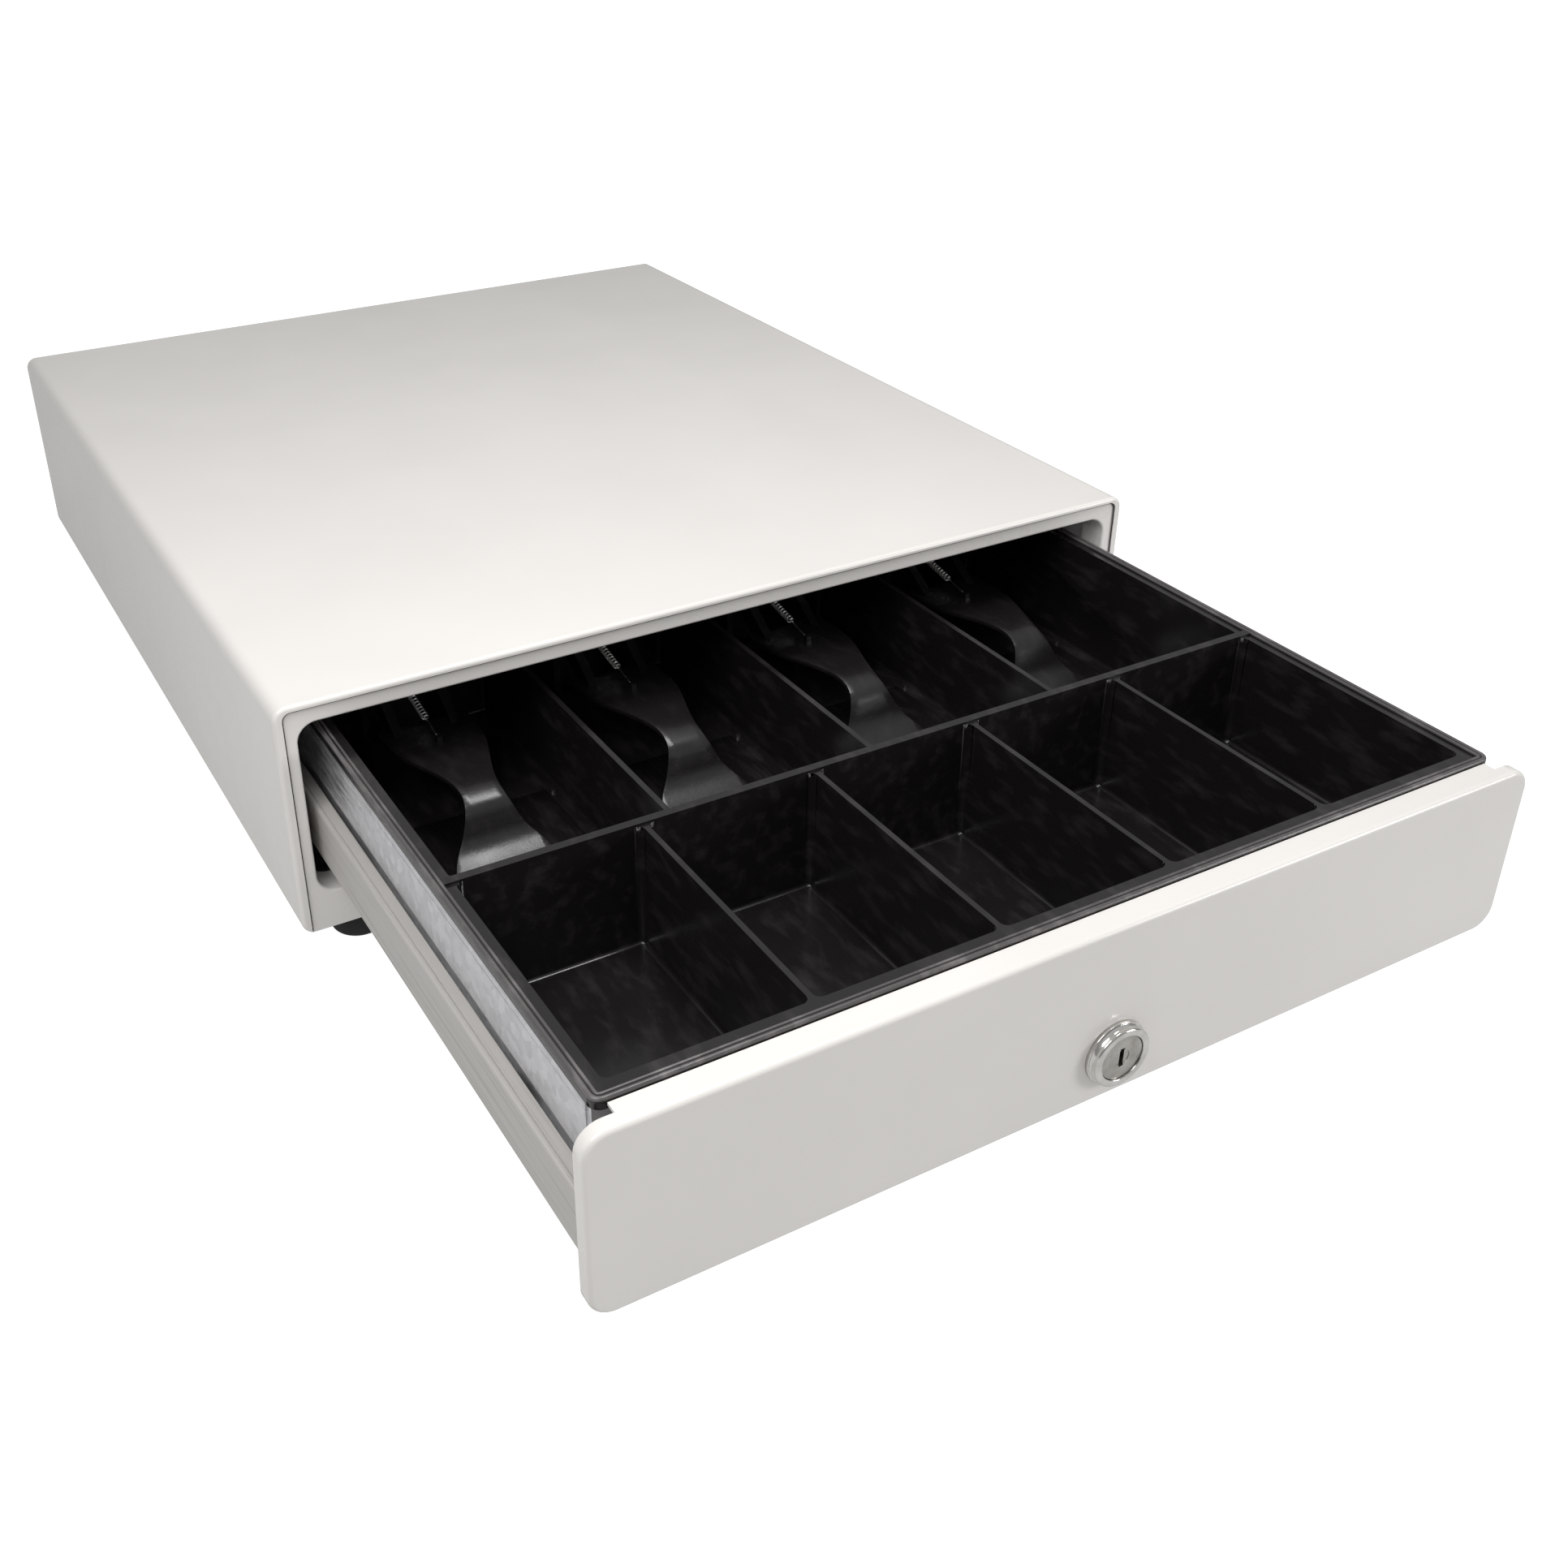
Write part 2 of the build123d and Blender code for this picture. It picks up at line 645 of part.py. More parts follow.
def tread(y):
    """Height of the tray runners' underside at a given y."""
    return tread_z + (y - front_roller_y) * slope


def tray_runners():
    """Two sloping strips under the tray that ride on the front rollers."""
    y0 = tray_front + 1
    y1 = tray_back - 1
    top = tray_low - 0.02
    side = Polyline((y0, tread(y0)), (y1, tread(y1)), (y1, top), (y0, top), close=True)
    strip = along_x(make_face(side), 0, 0, front_roller_x - 4.0, front_roller_x + 4.0)
    return mirrored(strip)


def rear_roller_pins():
    """Pins on the side rails that carry the rear rollers."""
    x0 = -rail_half
    pin = rod_x(roller_pin_radius, rear_roller_y, rear_roller_z, -172.4, x0 + 1.06)
    pin += rod_x(3.2, rear_roller_y, rear_roller_z, x0 + 1.05, x0 + 2.2)
    pin += rod_x(2.6, rear_roller_y, rear_roller_z, x0 - 1.2, x0 - 0.02)
    return mirrored(pin)


def rear_roller():
    """Left rear roller: a nylon wheel with a running bore."""
    wheel = rod_x(roller_radius, rear_roller_y, rear_roller_z, -172.0, -165.5)
    return wheel - rod_x(roller_pin_radius + 0.06, rear_roller_y, rear_roller_z, -180, -160)


def striker():
    """Bracket with a cross bar, on the back of the tray, that the latch hooks."""
    y0 = tray_back + 0.02
    plate = box(-9, 9, y0, y0 + 1.5, striker_z - 9, striker_z + 9)
    cheeks = []
    for x in (-9.0, 7.5):
        cheeks.append(box(x, x + 1.5, y0, striker_y + 4, striker_z - 5, striker_z + 5))
    bar = rod_x(2.0, striker_y, striker_z, -8.5, 8.5)
    return plate + cheeks[0] + cheeks[1] + bar


# ---------------- lock ----------------

def lock_body():
    """Chromed lock housing: a stepped flange in front, a short barrel behind."""
    face = face_y - lock_stand
    flange = rod_y(lock_flange_radius, lock_x, lock_z, face_y - 1.2, face_y - 0.02)
    ring = rod_y(lock_ring_radius, lock_x, lock_z, face, face_y - 1.0)
    soft = ring.edges().filter_by_position(Axis.Y, face - 0.1, face + 0.1)
    ring = fillet(soft, 0.8)
    barrel = rod_y(lock_barrel_radius - 0.1, lock_x, lock_z, face_y - 1.1, face_y + 8.2)
    body = flange + ring + barrel
    return body - rod_y(lock_bore_radius, lock_x, lock_z, face - 1, face_y + 20)


def lock_nut():
    """Thin hexagon nut that clamps the lock from behind."""
    nut = along_y(RegularPolygon(12.5, 6), lock_x, lock_z, face_y + sheet + 0.05, face_y + sheet + 2.6)
    return nut - rod_y(lock_barrel_radius - 0.08, lock_x, lock_z, face_y - 1, face_y + 9)


def lock_plug():
    """Key plug with an upright key slot in a small sunk disc."""
    face = face_y - lock_stand + 0.6
    plug = rod_y(lock_plug_radius, lock_x, lock_z, face, face_y + 8.3)
    slot = along_y(Rectangle(1.6, 6.5), lock_x, lock_z, face - 1, face_y + 3)
    sunk = rod_y(2.7, lock_x, lock_z, face - 1, face + 0.2)
    shank = rod_y(3.0, lock_x, lock_z, face_y + 8.0, face_y + 8.5)
    return plug - slot - sunk + shank


def lock_cam():
    """Flat cam on the plug: it drops through the fascia's slot to lock."""
    outline = Pos(8.0, 0) * SlotOverall(28.0, 11.0)
    return along_y(outline, lock_x, lock_z, lock_cam_y, lock_cam_y + 1.5)


def cam_screw():
    """Screw head behind the cam."""
    return rod_y(3.0, lock_x, lock_z, lock_cam_y + 1.52, lock_cam_y + 3.12)


# ---------------- till insert ----------------

def cup_edges():
    """X of every coin divider's middle, with the two side walls."""
    return [-cup_half + cup_pitch * n for n in range(cup_count + 1)]


def note_edges():
    """X of every note divider's middle, with the two side walls."""
    return [-cup_half + note_pitch * n for n in range(note_count + 1)]


def pocket(x0, x1, y0, y1, z0, radius):
    """Space of one compartment, widening to its full size at the rim."""
    draft = (rim_high - z0) * math.tan(math.radians(draft_angle))
    w = x1 - x0 - 2 * draft
    d = y1 - y0 - 2 * draft
    plane = Plane(((x0 + x1) / 2, (y0 + y1) / 2, z0))
    block = extrude(plane * RectangleRounded(w, d, radius), amount=rim_high - z0 + 6.0, taper=-draft_angle)
    low = block.edges().filter_by_position(Axis.Z, z0 - 0.01, z0 + 0.01)
    return fillet(low, radius * 0.7)


def insert_block():
    """Outside of the insert: a rim that rests on the tray and a deep body."""
    middle_y = (rim_front + rim_back) / 2
    length = rim_back - rim_front
    plane = Plane((0, middle_y, rim_high - rim_thick))
    rim = extrude(plane * RectangleRounded(2 * rim_half, length, 3.5), amount=rim_thick)
    top = rim.edges().filter_by_position(Axis.Z, rim_high - 0.01, rim_high + 0.01)
    rim = fillet(top, 0.9)
    body_half = tray_half - tray_sheet - 0.5
    body = box(-body_half, body_half, tray_front + tray_sheet + 0.4, tray_back - tray_sheet - 0.6,
               floor_high - wall, rim_high - rim_thick + 0.2)
    corners = body.edges().filter_by(Axis.Z)
    return rim + fillet(corners, 3.0)


def rim_step():
    """Shallow step inside the rim bead, on all four sides."""
    half = rim_half - rim_bead
    y0 = rim_front + rim_bead
    y1 = rim_back - rim_bead
    step = box(-half, half, y0, y1, rim_high - 0.8, rim_high + 1)
    keep = box(-half - 1, half + 1, cross_y, cross_y + cross_thick, rim_high - 2, rim_high + 2)
    return step - keep


def clip_posts():
    """Moulded posts behind each clip that hold its pin, and the spring's lug."""
    posts = []
    for x in clip_middles():
        for side in (-1, 1):
            inner = x + side * 14.6
            outer = x + side * 17.2
            post = box(min(inner, outer), max(inner, outer), clip_hinge_y - 5, note_back + 1,
                       floor_high - 0.5, clip_hinge_z + 4)
            posts.append(post)
        posts.append(box(x - 1.2, x + 1.2, anchor_y + 1.2, note_back + 1, anchor_z - 3, anchor_z + 2))
    return posts


def clip_middles():
    """X of the middle of every note compartment."""
    edges = note_edges()
    return [(edges[n] + edges[n + 1]) / 2 for n in range(note_count)]


def till_insert():
    """Moulded insert with coin cups in front and note compartments behind."""
    insert = insert_block() - rim_step()
    half = divider_thick / 2
    edges = cup_edges()
    for n in range(cup_count):
        x0 = edges[n] + (half if n else 0)
        x1 = edges[n + 1] - (half if n < cup_count - 1 else 0)
        insert -= pocket(x0, x1, cup_front, cross_y, floor_high, 2.0)
    edges = note_edges()
    for n in range(note_count):
        x0 = edges[n] + (half if n else 0)
        x1 = edges[n + 1] - (half if n < note_count - 1 else 0)
        insert -= pocket(x0, x1, cross_y + cross_thick, note_back, floor_high, 2.0)
    low_cut = box(-cup_half + 0.5, cup_half - 0.5, cross_y + cross_thick + 0.2, note_back - 0.4,
                  note_divider_high, rim_high + 2)
    insert -= low_cut
    for post in clip_posts():
        insert += post
    for x in clip_middles():
        insert -= rod_x(clip_pin_radius + 0.02, clip_hinge_y, clip_hinge_z, x - 18, x + 18)
    return insert


def clip_pins():
    """Steel pins that the four note clips swing on."""
    return [rod_x(clip_pin_radius, clip_hinge_y, clip_hinge_z, x - 17.4, x + 17.4)
            for x in clip_middles()]


def clip_profile():
    """Side outline of a clip: flat arm, rounded hump, steep drop, flared toe."""
    heights = [(48.0, 38.6), (26.0, 39.9), (4.0, 41.2), (-5.0, 40.0), (-10.5, 37.0),
               (-13.4, 32.6), (-16.6, 27.0), (-20.5, 23.8), (-28.4, 20.2)]
    upper = Spline(*[(clip_crest + y, panel_low + z) for y, z in heights])
    steps = 12
    under = []
    for n in range(steps + 1):
        point = upper @ (n / steps)
        along = upper % (n / steps)
        under.append((point.X - along.Y * clip_thick, point.Y + along.X * clip_thick))
    lower = Spline(*under)
    toe = Line(upper @ 1, lower @ 1)
    heel = Line(lower @ 0, upper @ 0)
    return make_face([upper, toe, lower, heel])


def clip_plan(x):
    """Plan outline of a clip: wide at the back, a narrow waist, a flared toe."""
    half = [(69.0, 16.5), (37.5, 16.5), (27.0, 15.3), (16.0, 12.3), (2.5, 8.1), (-7.5, 7.0),
            (-11.5, 8.1), (-14.5, 10.4), (-18.5, 14.3), (-23.5, 17.2), (-30.0, 19.4)]
    right = Spline(*[(x + w, clip_crest + y) for y, w in half])
    left = Spline(*[(x - w, clip_crest + y) for y, w in half])
    ends = [Line(right @ 0, left @ 0), Line(right @ 1, left @ 1)]
    return extrude(make_face([right, left] + ends), amount=120.0)


def note_clip(x):
    """One note clip with two eyes round its pin and a hook for its spring."""
    clip = along_x(clip_profile(), 0, 0, x - 20, x + 20) & clip_plan(x)
    start_y = clip_crest + 46.0
    arm_low = panel_low + 38.6 - clip_thick
    for side in (-1, 1):
        inner = x + side * 9.0
        outer = x + side * 12.4
        x0 = min(inner, outer)
        x1 = max(inner, outer)
        arm = Polyline((start_y - 4, arm_low), (start_y - 4, arm_low + 1.6), (clip_hinge_y - 3.2, clip_hinge_z + 1.2),
                       (clip_hinge_y + 3.2, clip_hinge_z - 1.2), (clip_hinge_y + 1.0, clip_hinge_z - 5.5),
                       (start_y + 8, arm_low), close=True)
        ear = along_x(make_face(arm), 0, 0, x0, x1) + rod_x(3.4, clip_hinge_y, clip_hinge_z, x0, x1)
        clip += ear - rod_x(clip_pin_radius + 0.06, clip_hinge_y, clip_hinge_z, x0 - 1, x1 + 1)
    clip += box(x - 1.0, x + 1.0, hook_y - 3.4, hook_y - 1.2, hook_z - 2.6, hook_z + 0.8)
    return clip


def clip_spring(x):
    """Extension spring of a clip, drawn as the sleeve its close coils fill."""
    run_y = anchor_y - hook_y
    run_z = anchor_z - hook_z

    def on_line(share):
        return (x, hook_y + run_y * share, hook_z + run_z * share)

    coil = bar_between(coil_radius, on_line(0.22), on_line(0.80))
    coil -= bar_between(coil_radius - 0.6, on_line(0.21), on_line(0.81))
    hook = bar_between(wire_radius * 2, on_line(0.0), on_line(0.23))
    tail = bar_between(wire_radius * 2, on_line(0.79), on_line(1.0))
    caps = bar_between(coil_radius - 0.3, on_line(0.215), on_line(0.235))
    caps += bar_between(coil_radius - 0.3, on_line(0.785), on_line(0.805))
    return coil + hook + tail + caps


def divider_screws():
    """Small screws on the floor beside the note dividers."""
    screws = []
    for x in note_edges()[1:]:
        at = x - divider_thick / 2 - 3.4
        screws.append(rod_z(1.1, at, face_y + 203.0, floor_high + 0.02, floor_high + 1.0))
    return screws


# ---------------- write every node ----------------

os.makedirs("parts", exist_ok=True)

save("cabinet_cover", cover_with_holes())
save("base_pan", base_pan())
save("cover_rivets", cover_rivets())
save("feet", feet())
save("foot_screws", foot_screws())
save("front_fascia", front_fascia())
save("back_panel", back_panel())
save("cable_socket", socket())
save("socket_screws", socket_screws())
save("runner_left", runner())
save("runner_right", mirror(runner(), about=Plane.YZ))
save("front_roller_brackets", front_roller_brackets())
save("front_roller_pins", front_roller_pins())
save("front_roller_right", front_roller())
save("front_roller_left", mirror(front_roller(), about=Plane.YZ))

save("latch_bracket", latch_bracket())
save("latch_pin", latch_pin())
save("latch_lever", latch_lever())
save("solenoid_frame", solenoid_frame())
save("solenoid_coil", solenoid_coil())
save("solenoid_plunger", solenoid_plunger())
save("plunger_spring", plunger_spring())
save("ejector_barrel", ejector_barrel())
save("ejector_plunger", ejector_plunger())
save("ejector_spring", ejector_spring())
save("switch_body", switch_body())
save("switch_bracket", switch_bracket())
save("switch_lever", switch_lever())

save("drawer_front", drawer_front())
save("drawer_tray", drawer_tray())
save("front_brackets", front_brackets())
save("side_rail_left", side_rail())
save("side_rail_right", mirror(side_rail(), about=Plane.YZ))
save("tray_runners", tray_runners())
save("rear_roller_pins", rear_roller_pins())
save("rear_roller_left", rear_roller())
save("rear_roller_right", mirror(rear_roller(), about=Plane.YZ))
save("striker", striker())
save("lock_body", lock_body())
save("lock_nut", lock_nut())
save("lock_plug", lock_plug())
save("lock_cam", lock_cam())
save("cam_screw", cam_screw())

save("till_insert", till_insert())
save("clip_pins", clip_pins())
save("divider_screws", divider_screws())
for number, middle in enumerate(clip_middles(), start=1):
    save("note_clip_" + str(number), note_clip(middle))
    save("clip_spring_" + str(number), clip_spring(middle))
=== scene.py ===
"""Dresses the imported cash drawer: drawn springs, lock, rim and floor ribs, finishes and a plain studio."""

import json
import math

import bpy
import numpy as np
from mathutils import Matrix, Vector


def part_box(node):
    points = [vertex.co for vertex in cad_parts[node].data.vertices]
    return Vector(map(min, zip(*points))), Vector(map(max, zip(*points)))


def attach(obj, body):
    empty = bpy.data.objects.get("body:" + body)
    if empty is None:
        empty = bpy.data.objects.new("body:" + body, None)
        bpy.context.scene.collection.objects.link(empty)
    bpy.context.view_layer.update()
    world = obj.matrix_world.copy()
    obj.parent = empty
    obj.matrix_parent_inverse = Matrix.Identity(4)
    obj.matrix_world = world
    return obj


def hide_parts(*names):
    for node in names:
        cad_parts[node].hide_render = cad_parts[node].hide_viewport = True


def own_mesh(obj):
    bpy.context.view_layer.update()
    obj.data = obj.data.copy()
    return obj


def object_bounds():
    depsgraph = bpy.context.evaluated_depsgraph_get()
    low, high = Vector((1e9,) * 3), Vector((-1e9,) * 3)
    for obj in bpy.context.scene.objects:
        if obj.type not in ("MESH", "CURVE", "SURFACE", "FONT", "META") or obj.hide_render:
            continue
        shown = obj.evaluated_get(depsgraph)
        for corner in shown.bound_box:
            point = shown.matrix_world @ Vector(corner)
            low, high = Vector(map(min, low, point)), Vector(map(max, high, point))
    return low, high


bl_info = {
    "name": "Cash drawer dressing",
    "version": (1, 0, 0),
    "blender": (4, 5, 0),
    "location": "View3D > Sidebar > Cash drawer",
    "description": "Adds the fine shapes and finishes of a steel cash drawer to its CAD frame",
    "category": "Object",
}

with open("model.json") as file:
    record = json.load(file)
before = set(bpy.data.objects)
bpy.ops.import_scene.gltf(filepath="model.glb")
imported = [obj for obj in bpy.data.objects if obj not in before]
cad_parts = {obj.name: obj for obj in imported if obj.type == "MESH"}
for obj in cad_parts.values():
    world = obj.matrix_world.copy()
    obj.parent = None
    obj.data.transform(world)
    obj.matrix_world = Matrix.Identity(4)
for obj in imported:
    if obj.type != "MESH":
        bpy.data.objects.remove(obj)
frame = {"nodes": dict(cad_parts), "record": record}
cad_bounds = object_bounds()

MM = 0.001
CLIP_COUNT = 4


def linear(code):
    """sRGB hex code as linear RGBA."""
    parts = np.array([int(code[n:n + 2], 16) for n in (1, 3, 5)]) / 255
    low = parts / 12.92
    high = ((parts + 0.055) / 1.055) ** 2.4
    return (*np.where(parts <= 0.04045, low, high).tolist(), 1.0)


# ---------------- what a user may change ----------------

class DrawerLook(bpy.types.PropertyGroup):
    """Sizes and colours of the dressing."""
    spring_wire: bpy.props.FloatProperty(
        name="Clip spring wire", description="Diameter of the wire of the clip springs",
        default=0.58 * MM, min=0.2 * MM, max=0.8 * MM, unit="LENGTH", precision=5)
    spring_pitch: bpy.props.FloatProperty(
        name="Clip spring pitch", description="From one coil of a clip spring to the next",
        default=1.7 * MM, min=0.6 * MM, max=3 * MM, unit="LENGTH", precision=5)
    return_wire: bpy.props.FloatProperty(
        name="Return spring wire", description="Diameter of the wire of the plunger and kick-out springs",
        default=0.8 * MM, min=0.4 * MM, max=1.4 * MM, unit="LENGTH", precision=5)
    bead_radius: bpy.props.FloatProperty(
        name="Rim bead", description="Radius of the bead round the insert's rim",
        default=0.8 * MM, min=0.3 * MM, max=1.2 * MM, unit="LENGTH", precision=5)
    rib_pitch: bpy.props.FloatProperty(
        name="Rib pitch", description="From one floor rib of a note bay to the next",
        default=2.0 * MM, min=1 * MM, max=8 * MM, unit="LENGTH", precision=5)
    rib_height: bpy.props.FloatProperty(
        name="Rib height", description="How far a floor rib stands up",
        default=0.3 * MM, min=0.1 * MM, max=0.6 * MM, unit="LENGTH", precision=5)
    edge_radius: bpy.props.FloatProperty(
        name="Edge softening", description="Width of the softened edges of sheet and moulded pieces",
        default=0.45 * MM, min=0, max=1 * MM, unit="LENGTH", precision=5)
    cabinet_colour: bpy.props.FloatVectorProperty(
        name="Cabinet", description="Colour of the powder coat", subtype="COLOR", size=4,
        default=linear("#E8E5E1"), min=0, max=1)
    rail_colour: bpy.props.FloatVectorProperty(
        name="Rails", description="Colour of the painted side rails", subtype="COLOR", size=4,
        default=linear("#B9B6B2"), min=0, max=1)
    insert_colour: bpy.props.FloatVectorProperty(
        name="Insert", description="Colour of the moulded insert and its clips", subtype="COLOR", size=4,
        default=linear("#1A1818"), min=0, max=1)


def look():
    """The scene's settings."""
    return bpy.context.scene.drawer_look


# ---------------- surfaces ----------------

def grid_faces(rows, columns, close_rows, close_columns):
    """Quads between neighbouring points of a grid; a closed way joins its end to its start."""
    r = np.arange(rows if close_rows else rows - 1)
    c = np.arange(columns if close_columns else columns - 1)
    r, c = np.meshgrid(r, c, indexing="ij")
    r2 = (r + 1) % rows
    c2 = (c + 1) % columns
    corners = (r * columns + c, r * columns + c2, r2 * columns + c2, r2 * columns + c)
    return np.stack(corners, axis=-1).reshape(-1, 4).tolist()


def unit(vectors):
    """The vectors at length one."""
    return vectors / np.linalg.norm(vectors, axis=-1, keepdims=True)


def new_piece(name, points, faces, body, slot):
    """A smooth mesh object that rides on a body and has the finish of a slot."""
    mesh = bpy.data.meshes.new(name)
    mesh.from_pydata(points.reshape(-1, 3).tolist(), [], faces)
    mesh.update()
    mesh.shade_smooth()
    piece = bpy.data.objects.new(name, mesh)
    bpy.context.scene.collection.objects.link(piece)
    mesh.materials.append(bpy.data.materials[FINISH_NAMES[slot]])
    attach(piece, body)
    return piece


def tube(path, outward, radius, sides, closed):
    """Round bar along a path: point(s, a) = path(s) + radius * (cos a * n(s) + sin a * b(s)).
    n is the outward direction squared to the path and b is the path's direction crossed with n."""
    along = np.roll(path, -1, axis=0) - np.roll(path, 1, axis=0) if closed else np.gradient(path, axis=0)
    along = unit(along)
    n = unit(outward - np.sum(outward * along, axis=1, keepdims=True) * along)
    b = np.cross(along, n)
    a = np.linspace(0, 2 * np.pi, sides, endpoint=False)
    ring = np.cos(a)[None, :, None] * n[:, None, :] + np.sin(a)[None, :, None] * b[:, None, :]
    points = path[:, None, :] + radius * ring
    faces = grid_faces(len(path), sides, closed, True)
    if not closed:
        last = (len(path) - 1) * sides
        faces.append(list(range(sides))[::-1])
        faces.append(list(range(last, last + sides)))
    return points, faces


def coil(start, end, radius, wire, pitch, share_low, share_high):
    """Coil with straight tails: point(s) = start + s * (end - start) + radius * w(s) * r(s).
    r turns round the axis once a pitch between the two shares, and w eases from 0 on a tail
    to 1 on the coil."""
    axis = np.array(end) - np.array(start)
    length = np.linalg.norm(axis)
    side = unit(np.cross(axis, (1.0, 0.0, 0.0)))
    across = unit(np.cross(axis, side))
    turns = length * (share_high - share_low) / pitch
    s = np.linspace(0, 1, int(turns * 16 / (share_high - share_low)))
    inside = np.clip((s - share_low) / (share_high - share_low), 0, 1)
    angle = 2 * np.pi * turns * inside
    ease = np.clip(np.minimum(inside, 1 - inside) * turns * 1.6, 0, 1)
    ease = ease * ease * (3 - 2 * ease)
    if share_low <= 0:
        ease = np.ones_like(s)
    r = np.cos(angle)[:, None] * side + np.sin(angle)[:, None] * across
    path = np.array(start) + s[:, None] * axis + radius * ease[:, None] * r
    return tube(path, r, wire / 2, 8, False)


def lathe(profile, centre, steps):
    """Profile of (radius, depth) pairs turned round Y: point(s, a) =
    centre + radius(s) * (cos a, 0, sin a) + (0, depth(s), 0)."""
    profile = np.array(profile)
    a = np.linspace(0, 2 * np.pi, steps, endpoint=False)
    turn = np.stack((np.cos(a), np.zeros(steps), np.sin(a)), axis=-1)
    points = profile[:, None, :1] * turn[None, :, :]
    points[:, :, 1] = profile[:, None, 1]
    return points + np.array(centre), grid_faces(len(profile), steps, True, True)


def ring_path(half, y0, y1, corner, z, steps=10):
    """Level rounded rectangle, and the outward direction at each of its points."""
    a = np.linspace(0, np.pi / 2, steps)
    path = []
    outward = []
    quarters = ((half, y1, 0), (-half, y1, 1), (-half, y0, 2), (half, y0, 3))
    for x, y, quarter in quarters:
        turn = a + quarter * np.pi / 2
        way = np.stack((np.cos(turn), np.sin(turn), np.zeros(steps)), axis=-1)
        middle = np.array((x - math.copysign(corner, x), y - corner * (1 if quarter < 2 else -1), z))
        path.append(middle + corner * way)
        outward.append(way)
    return np.concatenate(path), np.concatenate(outward)


def joint_facts(name):
    """What the record says of a joint."""
    return [joint for joint in frame["record"]["behaviour"]["joints"] if joint["name"] == name][0]


# ---------------- nodes ----------------

def add(tree, kind, inputs, **settings):
    """Adds a shader node; an input is given as a value or as another node's socket."""
    node = tree.nodes.new(kind)
    for key, value in settings.items():
        setattr(node, key, value)
    for key, value in inputs.items():
        if isinstance(value, bpy.types.NodeSocket):
            tree.links.new(value, node.inputs[key])
        else:
            node.inputs[key].default_value = value
    return node


def blank(name):
    """An empty material: its tree, main shader and a millimetre coordinate."""
    material = bpy.data.materials.new(name)
    material.use_nodes = True
    tree = material.node_tree
    shader = tree.nodes["Principled BSDF"]
    place = add(tree, "ShaderNodeTexCoord", {})
    scaled = add(tree, "ShaderNodeMapping", {"Vector": place.outputs["Object"], "Scale": (1000, 1000, 1000)})
    return tree, shader, scaled.outputs["Vector"]


def noise(tree, place, size, detail=3.0, stretch=(1, 1, 1)):
    """Cloudy noise; size is the width of one patch in mm, stretched per axis."""
    scale = tuple(1 / (size * s) for s in stretch)
    where = add(tree, "ShaderNodeMapping", {"Vector": place, "Scale": scale})
    node = add(tree, "ShaderNodeTexNoise", {"Vector": where.outputs["Vector"], "Scale": 1.0, "Detail": detail})
    return node.outputs["Fac"]


def spread(tree, value, low, high, start=0.3, stop=0.7):
    """Maps a 0 to 1 texture to a range."""
    inputs = {"Value": value, "From Min": start, "From Max": stop, "To Min": low, "To Max": high}
    return add(tree, "ShaderNodeMapRange", inputs).outputs["Result"]


def mixed(tree, share, first, second):
    """Mixes two colours by a texture."""
    node = add(tree, "ShaderNodeMix", {}, data_type="RGBA")
    for index, value in ((0, share), (6, first), (7, second)):
        if isinstance(value, bpy.types.NodeSocket):
            tree.links.new(value, node.inputs[index])
        else:
            node.inputs[index].default_value = value
    return node.outputs[2]


def relief(tree, shader, height, depth):
    """Bumps the shader by a texture; depth is in mm."""
    node = add(tree, "ShaderNodeBump", {"Height": height, "Strength": 1.0, "Distance": depth * MM})
    tree.links.new(node.outputs["Normal"], shader.inputs["Normal"])


def dusty(tree, shader, place, colour, darker, size):
    """Lets the colour drift a little over patches, as handled surfaces do."""
    patches = noise(tree, place, size, 4.0)
    shade = tuple(c * darker for c in colour[:3]) + (1.0,)
    share = spread(tree, patches, 0.0, 1.0)
    tree.links.new(mixed(tree, share, tuple(colour), shade), shader.inputs["Base Color"])


def powder_coat(name, colour, rough, peel):
    """Sprayed and baked powder: a smooth glossy skin with faint orange peel and soft drifts of dust."""
    tree, shader, place = blank(name)
    shader.inputs["IOR"].default_value = 1.5
    dusty(tree, shader, place, colour, 0.965, 60.0)
    gloss = noise(tree, place, 25.0, 5.0)
    tree.links.new(spread(tree, gloss, rough * 0.85, rough * 1.2), shader.inputs["Roughness"])
    waves = noise(tree, place, 3.0, 1.0)
    relief(tree, shader, waves, peel)


def white_powder_coat():
    """Cabinet and drawer front: glossy white that mirrors the studio softly."""
    powder_coat(FINISH_NAMES["white_powder_coat"], look().cabinet_colour, 0.2, 0.006)


def fascia_powder_coat():
    """Fascia: the same powder, a touch less glossy where less lands in the recess."""
    powder_coat(FINISH_NAMES["fascia_powder_coat"], look().cabinet_colour, 0.3, 0.008)


def back_powder_coat():
    """Back panel: the same powder, rubbed a little more matt."""
    powder_coat(FINISH_NAMES["back_powder_coat"], look().cabinet_colour, 0.4, 0.01)


def rail_painted_steel():
    """Side rails: pale grey satin paint with thin lengthwise rub marks."""
    tree, shader, place = blank(FINISH_NAMES["rail_painted_steel"])
    rubs = noise(tree, place, 1.2, 3.0, (1, 60, 1))
    share = spread(tree, rubs, 0.0, 1.0, 0.55, 0.8)
    colour = tuple(look().rail_colour)
    tree.links.new(mixed(tree, share, colour, linear("#A5A29E")), shader.inputs["Base Color"])
    tree.links.new(spread(tree, rubs, 0.3, 0.45), shader.inputs["Roughness"])
    relief(tree, shader, noise(tree, place, 2.0, 1.0), 0.008)


